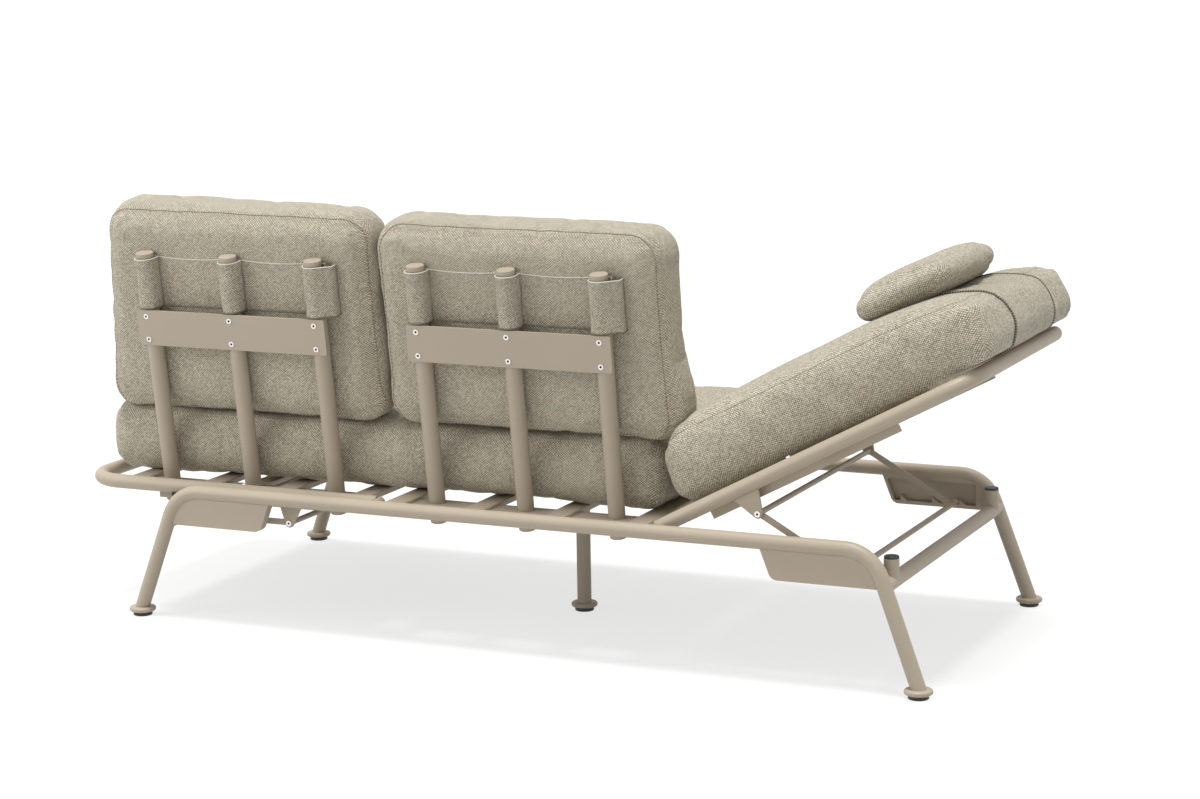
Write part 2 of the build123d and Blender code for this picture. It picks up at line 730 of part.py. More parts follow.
# Back cushions, standing against the posts
back_cushions = (
    ("left", left_back_start, left_back_width, left_back_taper),
    ("centre", centre_back_start, centre_back_width, 0.0),
)
for unit_name, start, width, taper in back_cushions:
    middle = post_axis(start + width / 2)
    base_origin = middle.origin - middle.y_dir * (post_cap_diameter / 2 + cushion_gap) + middle.z_dir * (
        back_cushion_base + back_cushion_height / 2
    )
    cushion_base = Plane(base_origin, x_dir=(1, 0, 0), z_dir=-middle.y_dir)
    with BuildPart() as back_cushion:
        pillow_form(
            cushion_base,
            width,
            back_cushion_height,
            back_cushion_thickness,
            cushion_corner_radius,
            back_edge_round,
            back_level_shares,
            back_inset_shares,
            taper=taper,
        )
    save(back_cushion, unit_name + "_back_cushion")

# Seat cushion, over the left recliner and the centre, hollowed where it lies on the front arm
seat_level = rail_height + slat_top + cushion_gap
with BuildPart() as seat_cushion:
    pillow_form(
        Plane((seat_cushion_start + seat_cushion_length / 2, seat_cushion_rear - seat_cushion_depth / 2, seat_level)),
        seat_cushion_length,
        seat_cushion_depth,
        seat_cushion_thickness,
        cushion_corner_radius,
        seat_edge_round,
        seat_level_shares,
        seat_inset_shares,
    )
    arms_and_eyes = recliner_points(left_deck, -hinge_eye_diameter)
    sweep_tube(arms_and_eyes, recliner_bend_radius, tube_radius + cushion_gap, mode=Mode.SUBTRACT)
    for across in (-arm_y, arm_y):
        with BuildSketch(cut_plane(left_deck, across)):
            Circle(hinge_eye_diameter / 2 + cushion_gap)
        extrude(amount=tube_radius + cushion_gap, both=True, mode=Mode.SUBTRACT)
    split(bisect_by=centre_deck.offset(slat_top + seat_gap), keep=Keep.TOP)
save(seat_cushion, "seat_cushion")

# Chaise cushion, on the raised recliner; it steps up where it passes over the end of the tube
chaise_base = right_deck.offset(slat_top + cushion_gap)
chaise_middle = chaise_cushion_start + chaise_cushion_length / 2
step_start = recliner_length - recliner_bend_radius
step_level = tube_radius + band_thickness + 2 * seat_gap


def chaise_form(outset):
    """The chaise cushion's body, grown by an outset, with its underside stepped over the tube."""
    pillow_form(
        Plane(chaise_base.from_local_coords((chaise_middle, 0, 0)), x_dir=right_deck.x_dir, z_dir=right_deck.z_dir),
        chaise_cushion_length,
        chaise_cushion_width,
        chaise_cushion_thickness,
        cushion_corner_radius,
        seat_edge_round,
        seat_level_shares,
        seat_inset_shares,
        outset,
        chaise_cushion_lean,
    )
    with BuildSketch(right_deck.offset(step_level - outset)) as under:
        with Locations((step_start, 0)):
            Rectangle(chaise_cushion_length, 2 * chaise_cushion_width, align=(Align.MIN, Align.CENTER))
    extrude(to_extrude=under.sketch, amount=-chaise_cushion_thickness, mode=Mode.SUBTRACT)


with BuildPart() as chaise_cushion:
    chaise_form(0.0)
save(chaise_cushion, "chaise_cushion")

# Headrest band, wrapped over the end of the chaise cushion, and the pillow that it holds
with BuildPart() as band_core:
    chaise_form(seat_gap)
band_start = pillow_start + pillow_depth + seat_gap
with BuildPart() as headrest_band:
    chaise_form(seat_gap + band_thickness)
    add(band_core.part, mode=Mode.SUBTRACT)
    with BuildSketch(right_deck) as band_area:
        with Locations((band_start, 0)):
            Rectangle(chaise_cushion_length, band_width, align=(Align.MIN, Align.CENTER))
    extrude(amount=2 * chaise_cushion_thickness, mode=Mode.INTERSECT)
save(headrest_band, "headrest_band")

with BuildPart() as headrest_pillow:
    pillow_base = right_deck.offset(slat_top + chaise_cushion_thickness + 2 * cushion_gap)
    pillow_form(
        Plane(
            pillow_base.from_local_coords((pillow_start + pillow_depth / 2, 0, 0)),
            x_dir=right_deck.x_dir,
            z_dir=right_deck.z_dir,
        ),
        pillow_depth,
        pillow_width,
        pillow_thickness,
        pillow_corner_radius,
        pillow_edge_round,
        back_level_shares,
        back_inset_shares,
    )
save(headrest_pillow, "headrest_pillow")
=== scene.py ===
# %% [markdown]
# # A double chaise lounger
# The frame, the posts and every fastener come from the CAD model and only get materials here.
# The soft parts are made here: each cushion is a rounded block that a short cloth simulation
# fills, then seams, the sleeves over the posts and the headrest band are laid on its surface.

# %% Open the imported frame
import json
from math import cos, floor, pi, radians, sin

import bpy
import numpy as np
from mathutils import Matrix, Vector, noise
from mathutils.bvhtree import BVHTree


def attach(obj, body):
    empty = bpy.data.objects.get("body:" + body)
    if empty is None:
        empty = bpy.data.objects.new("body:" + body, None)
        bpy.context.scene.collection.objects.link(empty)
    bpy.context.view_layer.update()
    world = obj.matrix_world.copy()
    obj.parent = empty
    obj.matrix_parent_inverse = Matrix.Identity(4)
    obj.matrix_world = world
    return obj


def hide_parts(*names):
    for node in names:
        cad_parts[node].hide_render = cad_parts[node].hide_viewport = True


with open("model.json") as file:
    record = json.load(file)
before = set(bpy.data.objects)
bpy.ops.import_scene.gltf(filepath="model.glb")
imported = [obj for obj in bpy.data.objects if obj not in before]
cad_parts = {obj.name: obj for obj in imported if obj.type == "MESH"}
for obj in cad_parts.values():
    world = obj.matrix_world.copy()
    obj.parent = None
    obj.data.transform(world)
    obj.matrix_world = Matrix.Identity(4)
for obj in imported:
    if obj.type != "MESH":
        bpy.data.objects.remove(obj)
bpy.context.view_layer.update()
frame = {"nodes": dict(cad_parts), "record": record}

# %% [markdown]
# ## Sizes
# All lengths are in metres, in the frame of the CAD model: X along the seat, +Y the rear, Z up.
# The deck is the top of the slats. The raised recliner turns about its hinge by the rise angle.

# %% Sizes shared with the CAD model
RAIL_HEIGHT = 0.293
SLAT_TOP = 0.007
HINGE_X = 0.3344
RISE = radians(27.6)
POST_LEAN = radians(8.0)
POST_FOOT_Y = 0.291
POST_FOOT_Z = 0.2925
POST_RADIUS = 0.0185
CAP_RADIUS = 0.020
POST_PITCH = 0.215
LEFT_UNIT_X = 0.681
SLEEVE_LOW = 0.413
SLEEVE_HIGH = 0.525
BACK_BASE = 0.155
BACK_HEIGHT = 0.484
BACK_THICK = 0.138
BACK_CORNER = 0.084
PANEL_WIDTH = 0.467
PANEL_SHIFT = -0.001

FABRIC_SLOT = "cushion_fabric"
STRAP_SLOT = "strap_fabric"

# %% [markdown]
# ## Materials
# A material is a small network of nodes. Effects that several materials share, such as the weave,
# are written once as a node group, which gives out only a colour and, for some, a height and a
# roughness.
# Every soft piece carries its own flat coordinates in an attribute, so the weave follows the
# cushion and doesn't swim when the piece moves or bends.


# %% Small helpers that make nodes
def new_group(name, inputs, outputs):
    """Start a shader node group with float, colour or vector sockets."""
    group = bpy.data.node_groups.new(name, "ShaderNodeTree")
    for socket, kind, default in inputs:
        made = group.interface.new_socket(socket, in_out="INPUT", socket_type=kind)
        made.default_value = default
    for socket, kind in outputs:
        group.interface.new_socket(socket, in_out="OUTPUT", socket_type=kind)
    start = group.nodes.new("NodeGroupInput")
    end = group.nodes.new("NodeGroupOutput")
    return group, start, end


def add_node(tree, kind, links=None, **settings):
    """Add a node, set its properties and wire its inputs."""
    made = tree.nodes.new(kind)
    for key, value in settings.items():
        setattr(made, key, value)
    for socket, value in (links or {}).items():
        if isinstance(value, bpy.types.NodeSocket):
            tree.links.new(value, made.inputs[socket])
        else:
            made.inputs[socket].default_value = value
    return made


def maths(tree, operation, first, second=0.5, third=0.5):
    """A Math node, given back as its output socket."""
    sockets = {0: first, 1: second, 2: third}
    return add_node(tree, "ShaderNodeMath", sockets, operation=operation).outputs[0]


def mix_colour(tree, factor, first, second, blend="MIX"):
    """A colour Mix node, given back as its output socket."""
    sockets = {0: factor, 6: first, 7: second}
    return add_node(tree, "ShaderNodeMix", sockets, data_type="RGBA", blend_type=blend).outputs[2]


def grey(tree, value):
    """A grey of one value, given back as a colour."""
    return add_node(tree, "ShaderNodeCombineColor", {0: value, 1: value, 2: value}).outputs[0]


def stored(tree, name):
    """Read an attribute that is stored at the points of a mesh."""
    return add_node(tree, "ShaderNodeAttribute", attribute_name=name, attribute_type="GEOMETRY")


def clouds(tree, place, scale, detail):
    """Soft noise over a place, given back as its output socket."""
    made = add_node(tree, "ShaderNodeTexNoise", {"Vector": place, "Scale": scale, "Detail": detail})
    return made.outputs["Fac"]


# %% [markdown]
# ### The weave
# The fabric is a coarse melange: short floats of yarn, lighter and darker, side by side in rows.
# Light and dark floats alternate like the squares of a chessboard, and a random number disturbs
# them.

# %% The weave as a node group
CHANCE_SHARE = 0.42


def make_weave_group():
    """Colour and height of a coarse woven melange, from flat coordinates in metres, with painted shade
    between the floats.
    """
    group, start, end = new_group(
        "Weave",
        [
            ("Float", "NodeSocketFloat", 0.0031),
            ("Row", "NodeSocketFloat", 0.0026),
            ("Dark", "NodeSocketColor", (0.12, 0.10, 0.07, 1)),
            ("Mid", "NodeSocketColor", (0.42, 0.38, 0.30, 1)),
            ("Light", "NodeSocketColor", (0.78, 0.73, 0.62, 1)),
        ],
        [("Color", "NodeSocketColor"), ("Height", "NodeSocketFloat")],
    )
    place = stored(group, "weave_at").outputs["Vector"]
    facing = stored(group, "weave_facing").outputs["Vector"]
    size = add_node(group, "ShaderNodeVectorMath", {0: facing}, operation="ABSOLUTE")
    at = add_node(group, "ShaderNodeSeparateXYZ", {0: place})
    face = add_node(group, "ShaderNodeSeparateXYZ", {0: size.outputs["Vector"]})
    # On faces that look along x, the cloth's first direction is y. On the others it is x.
    greater_yz = maths(group, "MAXIMUM", face.outputs[1], face.outputs[2])
    looks_x = maths(group, "GREATER_THAN", face.outputs[0], greater_yz)
    looks_z = maths(group, "GREATER_THAN", face.outputs[2], face.outputs[1])
    sideways = {0: looks_x, 2: at.outputs[0], 3: at.outputs[1]}
    across = add_node(group, "ShaderNodeMix", sideways).outputs[0]
    # On faces that look along z, the second direction is y. On the others it is z.
    flat = maths(group, "MULTIPLY", looks_z, maths(group, "SUBTRACT", 1.0, looks_x))
    upwards = {0: flat, 2: at.outputs[2], 3: at.outputs[1]}
    along = add_node(group, "ShaderNodeMix", upwards).outputs[0]
    waver = clouds(group, place, 28.0, 1.0)
    shift = maths(group, "MULTIPLY", maths(group, "SUBTRACT", waver, 0.5), 0.0030)
    row = maths(group, "DIVIDE", maths(group, "ADD", along, shift), start.outputs["Row"])
    row_index = maths(group, "FLOOR", row)
    column = maths(group, "DIVIDE", maths(group, "ADD", across, shift), start.outputs["Float"])
    column_index = maths(group, "FLOOR", column)
    cell = add_node(group, "ShaderNodeCombineXYZ", {0: column_index, 1: row_index, 2: looks_x})
    place_in_cloth = {"Vector": cell.outputs[0]}
    random = add_node(group, "ShaderNodeTexWhiteNoise", place_in_cloth, noise_dimensions="3D")
    # Lighter and darker floats take turns, and chance makes some of them change places.
    parity = maths(group, "FLOORED_MODULO", maths(group, "ADD", column_index, row_index), 2.0)
    steady = maths(group, "MULTIPLY", parity, 1 - CHANCE_SHARE)
    tone = maths(group, "MULTIPLY_ADD", random.outputs["Value"], CHANCE_SHARE, steady)
    double = maths(group, "MULTIPLY", tone, 2.0)
    lower = mix_colour(group, double, start.outputs["Dark"], start.outputs["Mid"])
    raised = maths(group, "MAXIMUM", maths(group, "SUBTRACT", double, 1.0), 0.0)
    colour = mix_colour(group, raised, lower, start.outputs["Light"])
    # The melange leans to pink in some floats and to green in others.
    chance = add_node(group, "ShaderNodeSeparateColor", {0: random.outputs["Color"]})
    tint = mix_colour(group, chance.outputs[1], (1.07, 0.98, 0.97, 1), (0.93, 1.01, 1.0, 1))
    colour = mix_colour(group, 1.0, colour, tint, "MULTIPLY")
    # Each float is a small pillow, high in its middle and low where it dives under the next.
    bump_u = maths(group, "SINE", maths(group, "MULTIPLY", maths(group, "FRACT", column), pi))
    bump_v = maths(group, "SINE", maths(group, "MULTIPLY", maths(group, "FRACT", row), pi))
    height = maths(group, "POWER", maths(group, "MULTIPLY", bump_u, bump_v), 0.6)
    # The colour is darker in the low parts of each float: painted shade where it dives under the next.
    painted_float_shade = maths(group, "MULTIPLY_ADD", height, 0.45, 0.62)
    colour = mix_colour(group, 1.0, colour, grey(group, painted_float_shade), "MULTIPLY")
    group.links.new(colour, end.inputs["Color"])
    group.links.new(height, end.inputs["Height"])
    return group


# %% [markdown]
# ### Broad tone and grain
# No real surface has one even colour. Cloth and coat change slowly in brightness, and what is
# sprayed or moulded has a fine grain. Both are groups, because several materials use them with
# their own values.

# %% Two more node groups
def make_broad_group():
    """A slow change of brightness over a surface, as sunlight, handling and the dye leave it."""
    group, start, end = new_group(
        "Broad tone",
        [
            ("Color", "NodeSocketColor", (1, 1, 1, 1)),
            ("Scale", "NodeSocketFloat", 5.0),
            ("Amount", "NodeSocketFloat", 0.1),
        ],
        [("Color", "NodeSocketColor")],
    )
    place = add_node(group, "ShaderNodeTexCoord")
    cloud = clouds(group, place.outputs["Object"], start.outputs["Scale"], 3.0)
    change = maths(group, "MULTIPLY", maths(group, "SUBTRACT", cloud, 0.5), start.outputs["Amount"])
    factor = maths(group, "ADD", maths(group, "MULTIPLY", change, 2.0), 1.0)
    colour = mix_colour(group, 1.0, start.outputs["Color"], grey(group, factor), "MULTIPLY")
    group.links.new(colour, end.inputs["Color"])
    return group


def make_grain_group():
    """Fine powder-coat grain: tiny droplets that dried as they landed."""
    group, start, end = new_group(
        "Coat grain",
        [("Color", "NodeSocketColor", (1, 1, 1, 1)), ("Scale", "NodeSocketFloat", 900.0)],
        [("Color", "NodeSocketColor"), ("Height", "NodeSocketFloat"), ("Roughness", "NodeSocketFloat")],
    )
    place = add_node(group, "ShaderNodeTexCoord").outputs["Object"]
    droplets = clouds(group, place, start.outputs["Scale"], 2.0)
    broad = clouds(group, place, 30.0, 2.0)
    factor = maths(group, "MULTIPLY_ADD", droplets, 0.14, 0.93)
    colour = mix_colour(group, 1.0, start.outputs["Color"], grey(group, factor), "MULTIPLY")
    group.links.new(colour, end.inputs["Color"])
    group.links.new(droplets, end.inputs["Height"])
    group.links.new(maths(group, "MULTIPLY_ADD", broad, 0.12, 0.42), end.inputs["Roughness"])
    return group


WEAVE = make_weave_group()
BROAD = make_broad_group()
GRAIN = make_grain_group()
print("node groups:", [group.name for group in (WEAVE, BROAD, GRAIN)])


# %% [markdown]
# ### From groups to materials
# A bump node turns the height that a group gives out into a change of the surface's direction.

# %% Helpers for materials
def start_material(name):
    """A material with a Principled shader, and its node tree."""
    material = bpy.data.materials.new(name)
    material.use_nodes = True
    tree = material.node_tree
    return material, tree, tree.nodes["Principled BSDF"]


def use_group(tree, group, links=None):
    """Place a node group in a material."""
    return add_node(tree, "ShaderNodeGroup", links, node_tree=group)


def set_bump(tree, shader, height, strength, distance):
    """Wire a height into the shader's normal."""
    sockets = {"Height": height, "Strength": strength, "Distance": distance}
    bump = add_node(tree, "ShaderNodeBump", sockets)
    tree.links.new(bump.outputs[0], shader.inputs["Normal"])


# %% [markdown]
# ### Fabric and stitches
# The cushions' cloth is thick and matt, so it gets a high roughness and a little sheen, and its
# floats also shape its normal. A seam is a cord with stitches of thread painted along it. Real
# stitches could be modelled one by one, but at this size their colour and relief are enough.

# %% Fabric and stitches
YARNS = {"Dark": (0.163, 0.137, 0.093), "Mid": (0.497, 0.449, 0.342), "Light": (0.885, 0.833, 0.680)}


def make_fabric(name, brightness=1.0):
    """The woven melange of the cushions."""
    material, tree, shader = start_material(name)
    yarns = {tone: tuple(brightness * part for part in yarn) + (1,) for tone, yarn in YARNS.items()}
    weave = use_group(tree, WEAVE, yarns)
    broad = use_group(tree, BROAD, {"Color": weave.outputs["Color"], "Amount": 0.07, "Scale": 6.0})
    tree.links.new(broad.outputs["Color"], shader.inputs["Base Color"])
    shader.inputs["Roughness"].default_value = 0.92
    shader.inputs["Sheen Weight"].default_value = 0.12
    shader.inputs["Sheen Roughness"].default_value = 0.6
    shader.inputs["Specular IOR Level"].default_value = 0.25
    set_bump(tree, shader, weave.outputs["Height"], 0.55, 0.0012)
    return material


def make_stitching(name, thread, ground, pitch, share):
    """A seam: stitches of thread, one after another, over the cloth between them."""
    material, tree, shader = start_material(name)
    along = stored(tree, "seam_at").outputs["Fac"]
    turn = maths(tree, "FRACT", maths(tree, "DIVIDE", along, pitch))
    stitch = maths(tree, "LESS_THAN", turn, share)
    twist = maths(tree, "SINE", maths(tree, "MULTIPLY", turn, 6 * pi))
    tree.links.new(mix_colour(tree, stitch, ground, thread), shader.inputs["Base Color"])
    shader.inputs["Roughness"].default_value = 0.8
    set_bump(tree, shader, maths(tree, "MULTIPLY", twist, stitch), 0.4, 0.0006)
    return material


# %% [markdown]
# ### Coat, plastic and steel
# The frame has a fine powder coat, the feet are of black rubber, the plugs in the posts are of
# plastic in the coat's colour, and the screws are bright. All but the screws share one grain.

# %% Coat, plastic and steel
def make_coat():
    """Powder coat of the frame."""
    material, tree, shader = start_material("powder_coat")
    grain = use_group(tree, GRAIN, {"Color": (0.437, 0.372, 0.284, 1), "Scale": 900.0})
    broad = use_group(tree, BROAD, {"Color": grain.outputs["Color"], "Amount": 0.04, "Scale": 3.0})
    tree.links.new(broad.outputs["Color"], shader.inputs["Base Color"])
    tree.links.new(grain.outputs["Roughness"], shader.inputs["Roughness"])
    shader.inputs["Specular IOR Level"].default_value = 0.45
    set_bump(tree, shader, grain.outputs["Height"], 0.14, 0.0004)
    return material


def make_moulded(name, colour):
    """A moulded part, a little dusty where it is worn."""
    material, tree, shader = start_material(name)
    grain = use_group(tree, GRAIN, {"Color": colour, "Scale": 420.0})
    place = add_node(tree, "ShaderNodeTexCoord")
    dust = clouds(tree, place.outputs["Object"], 60.0, 4.0)
    amount = maths(tree, "MULTIPLY", maths(tree, "POWER", dust, 3.0), 0.25)
    dusty = mix_colour(tree, amount, grain.outputs["Color"], (0.2, 0.19, 0.17, 1))
    tree.links.new(dusty, shader.inputs["Base Color"])
    shader.inputs["Roughness"].default_value = 0.55
    set_bump(tree, shader, grain.outputs["Height"], 0.2, 0.0004)
    return material


def make_steel():
    """Bright stainless heads, turned, with fine rings left by the tool."""
    material, tree, shader = start_material("bright_steel")
    place = add_node(tree, "ShaderNodeTexCoord")
    scratches = clouds(tree, place.outputs["Object"], 700.0, 3.0)
    colour = mix_colour(tree, scratches, (0.78, 0.77, 0.74, 1), (0.93, 0.92, 0.90, 1))
    tree.links.new(colour, shader.inputs["Base Color"])
    shader.inputs["Metallic"].default_value = 0.85
    tree.links.new(maths(tree, "MULTIPLY_ADD", scratches, 0.2, 0.25), shader.inputs["Roughness"])
    set_bump(tree, shader, scratches, 0.08, 0.0002)
    return material


# %% Make the materials
COAT = make_coat()
RUBBER = make_moulded("rubber", (0.022, 0.024, 0.028, 1))
PLUG = make_moulded("plug_plastic", (0.40, 0.345, 0.265, 1))
STEEL = make_steel()
FABRIC = make_fabric("cushion_cloth")
STRAP = make_fabric("strap_cloth", 0.97)
STRAP_HEM = make_fabric("hem_cloth", 0.9)
BROWN = (0.15, 0.095, 0.05, 1)
FAWN = (0.34, 0.30, 0.225, 1)
CREAM = (0.86, 0.83, 0.75, 1)
UMBER = (0.075, 0.065, 0.05, 1)
STITCH = make_stitching("brown_stitches", BROWN, (0.46, 0.41, 0.32, 1), 0.0085, 0.55)
SOFT_STITCH = make_stitching("pale_stitches", FAWN, (0.50, 0.455, 0.355, 1), 0.0085, 0.5)
THREAD = make_stitching("pale_hem", CREAM, (0.62, 0.58, 0.48, 1), 0.006, 0.7)
OVERLOCK = make_stitching("dark_overlock", UMBER, (0.40, 0.35, 0.27, 1), 0.0055, 0.62)
print("materials:", len(bpy.data.materials))

# %% [markdown]
# ## The hard parts
# Each CAD node keeps its shape and gets the material of its slot in the record. The post plugs get a
# plastic in the coat's colour instead.

# %% Give every CAD node its material
BY_SLOT = {
    "coated_steel": COAT,
    "rubber": RUBBER,
    "bright_steel": STEEL,
    FABRIC_SLOT: FABRIC,
    STRAP_SLOT: STRAP,
}
slot_of = {part["node"]: part["material_slot"] for part in frame["record"]["subparts"]}
for node_name, node in frame["nodes"].items():
    for place in node.material_slots:
        place.material = PLUG if node_name.endswith("post_plugs") else BY_SLOT[slot_of[node_name]]
print("nodes by slot:", {slot: list(slot_of.values()).count(slot) for slot in BY_SLOT})

# %% [markdown]
# ### Sockets
# The screw heads have a deep socket. At this size its shade is what shows, so a dark hexagon
# lies in each one, a little below its mouth.

# %% Dark hexagons in the sockets
def new_piece(name, points, faces, material):
    """A new object of one mesh and one material."""
    mesh = bpy.data.meshes.new(name)
    mesh.from_pydata(points, [], faces)
    mesh.materials.append(material)
    piece = bpy.data.objects.new(name, mesh)
    bpy.context.scene.collection.objects.link(piece)
    return piece


SOCKET_DARK, socket_tree, socket_shader = start_material("socket_shade")
socket_grain = use_group(socket_tree, GRAIN, {"Color": (0.012, 0.012, 0.012, 1), "Scale": 500.0})
socket_tree.links.new(socket_grain.outputs["Color"], socket_shader.inputs["Base Color"])
socket_tree.links.new(socket_grain.outputs["Roughness"], socket_shader.inputs["Roughness"])
socket_shader.inputs["Specular IOR Level"].default_value = 0.05


def hexagons(name, places, radius, body):
    """Flat hexagons at places, each a centre with the direction that it looks in."""
    points = []
    faces = []
    for centre, facing in places:
        side = facing.orthogonal().normalized()
        other = facing.cross(side)
        start = len(points)
        for n in range(6):
            turn = pi * n / 3
            points.append(tuple(centre + radius * (side * cos(turn) + other * sin(turn))))
        faces.append(tuple(range(start, start + 6)))
    piece = new_piece(name, points, faces, SOCKET_DARK)
    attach(piece, body)


lean_up = Vector((0, sin(POST_LEAN), cos(POST_LEAN)))
lean_front = Vector((0, -cos(POST_LEAN), sin(POST_LEAN)))
rise_along = Vector((-cos(RISE), 0, sin(RISE)))
rise_up = Vector((sin(RISE), 0, cos(RISE)))
hinge = Vector((-HINGE_X, 0, RAIL_HEIGHT))
PLATE_GAP = 0.00015
PLATE_THICKNESS = 0.004
PLATE_HEIGHT = 0.369
SCREW_FROM_MIDDLE = 0.0265
SCREW_HEAD = 0.002
SHADE_BELOW_MOUTH = 0.0005
shade_out = POST_RADIUS + PLATE_GAP + PLATE_THICKNESS + SCREW_HEAD - SHADE_BELOW_MOUTH
plate_sockets = []
for unit_x in (LEFT_UNIT_X, 0.0):
    for column in (-1, 0, 1):
        for height in (PLATE_HEIGHT - SCREW_FROM_MIDDLE, PLATE_HEIGHT + SCREW_FROM_MIDDLE):
            foot = Vector((unit_x + POST_PITCH * column, POST_FOOT_Y, POST_FOOT_Z))
            plate_sockets.append((foot + lean_up * height - lean_front * shade_out, -lean_front))
PLATE_SHADE_RADIUS = 0.00265
hexagons("plate_socket_shades", plate_sockets, PLATE_SHADE_RADIUS, "fixed_frame")
PIVOT_OUT = 0.221
PIVOT_DROP = 0.062
BOLT_REACH = 0.352
BOLT_HEAD = 0.003
BOLT_SHADE_BELOW_MOUTH = 0.0007
BOLT_SHADE_RADIUS = 0.0024
bolt_shade_y = BOLT_REACH + BOLT_HEAD - BOLT_SHADE_BELOW_MOUTH
left_pivot = Vector((HINGE_X + PIVOT_OUT, 0, RAIL_HEIGHT - PIVOT_DROP))
right_pivot = hinge + rise_along * PIVOT_OUT - rise_up * PIVOT_DROP
pivots = (("left", left_pivot, "fixed_frame"), ("right", right_pivot, "right_recliner"))
for label, pivot, body in pivots:
    both = [(pivot + Vector((0, turn * bolt_shade_y, 0)), Vector((0, turn, 0))) for turn in (-1, 1)]
    hexagons(label + "_bolt_socket_shades", both, BOLT_SHADE_RADIUS, body)
print("sockets:", len(plate_sockets))

# %% [markdown]
# ## Soft parts
# A cushion starts as a grid of squares on a rounded block. The four edges round its top and the
# four round its bottom are where the seams run, so their points are held still while pressure
# fills the cloth between them. Held seams and free panels are what make a boxed cushion look full.


# %% A block with rounded edges, as a grid of squares
def rounded_block(half, radius, spacing):
    """Points and faces of a rounded block about the origin, and which points lie on a seam."""
    counts = [max(4, round(2 * h / spacing)) for h in half]
    half = np.array(half)
    radius = np.array(radius)
    index = {}
    points = []
    seam = []

    def point(i, j, k):
        key = (i, j, k)
        if key not in index:
            raw = np.array([-h + 2 * h * n / c for h, n, c in zip(half, key, counts)])
            core = np.clip(raw, radius - half, half - radius)
            away = (raw - core) / radius
            length = np.linalg.norm(away)
            if length > 0:
                raw = core + radius * away / max(length, 1e-9) * min(1.0, np.abs(away).max())
            index[key] = len(points)
            points.append(raw)
            on_rim = i in (0, counts[0]) or j in (0, counts[1])
            seam.append(k in (0, counts[2]) and on_rim)
        return index[key]

    faces = []
    for axis in range(3):
        a, b = [other for other in range(3) if other != axis]
        for end in (0, counts[axis]):
            for m in range(counts[a]):
                for n in range(counts[b]):
                    corners = []
                    for da, db in ((0, 0), (1, 0), (1, 1), (0, 1)):
                        key = [0, 0, 0]
                        key[axis] = end
                        key[a] = m + da
                        key[b] = n + db
                        corners.append(point(*key))
                    outward = (end > 0) ^ (axis == 1)
                    faces.append(corners if outward else corners[::-1])
    return np.array(points), faces, np.array(seam)


def face_normals(points, faces):
    """The outward direction at each point of a closed mesh."""
    normals = np.zeros_like(points)
    corners = np.array(faces)
    a, b, c, d = (points[corners[:, n]] for n in range(4))
    flat = np.cross(c - a, d - b)
    for n in range(4):
        np.add.at(normals, corners[:, n], flat)
    lengths = np.linalg.norm(normals, axis=1, keepdims=True)
    return normals / np.maximum(lengths, 1e-12)


def wander(points, size, seed):
    """A smooth random value at each point, from -1 to 1, that changes over about one size."""
    start = Vector((seed * 3.7, seed * 1.9, seed * 2.3))
    return np.array([noise.noise(Vector(p) / size + start) for p in points])


# %% [markdown]
# ### Filling a cushion
# The simulation is Blender's own cloth, with air pressure inside and no gravity. What it moves is
# limited afterwards, so that a cushion stays near the block that it started from.


# %% Fill a block of cloth
AIR_PRESSURE = 2.2
SLACK = 0.02
LAST_STEP = 20


def fill_with_air(points, faces, held):
    """Run a short cloth simulation and give back the moved points."""
    piece = new_piece("filling", points.tolist(), faces, FABRIC)
    mesh = piece.data
    group = piece.vertex_groups.new(name="held")
    group.add([int(n) for n in np.flatnonzero(held)], 1.0, "REPLACE")
    cloth = piece.modifiers.new("cloth", "CLOTH")
    settings = cloth.settings
    settings.quality = 5
    settings.mass = 0.4
    settings.tension_stiffness = 25
    settings.compression_stiffness = 12
    settings.shear_stiffness = 8
    settings.bending_stiffness = 0.35
    settings.use_pressure = True
    settings.uniform_pressure_force = AIR_PRESSURE
    settings.shrink_min = -SLACK
    settings.shrink_max = -SLACK
    settings.vertex_group_mass = "held"
    settings.pin_stiffness = 1.0
    settings.effector_weights.gravity = 0.0
    cloth.collision_settings.use_collision = False
    cloth.collision_settings.use_self_collision = False
    scene = bpy.context.scene
    cloth.point_cache.frame_start = 1
    cloth.point_cache.frame_end = LAST_STEP
    for step in range(1, LAST_STEP + 1):
        scene.frame_set(step)
    shown = piece.evaluated_get(bpy.context.evaluated_depsgraph_get())
    moved = np.empty(len(points) * 3)
    shown.data.vertices.foreach_get("co", moved)
    scene.frame_set(1)
    bpy.data.objects.remove(piece)
    bpy.data.meshes.remove(mesh)
    return moved.reshape(-1, 3)


def limit_motion(before, after, most):
    """Ease each point's motion towards the most that it may be."""
    step = after - before
    length = np.linalg.norm(step, axis=1, keepdims=True)
    eased = most * np.tanh(length / most)
    return before + step * eased / np.maximum(length, 1e-9)


# %% [markdown]
# ### From points to an object
# The weave must not stretch where a cushion is full. So each point keeps where it lay, and where
# it faced, before the filling, and the material reads those two attributes instead of the shape.

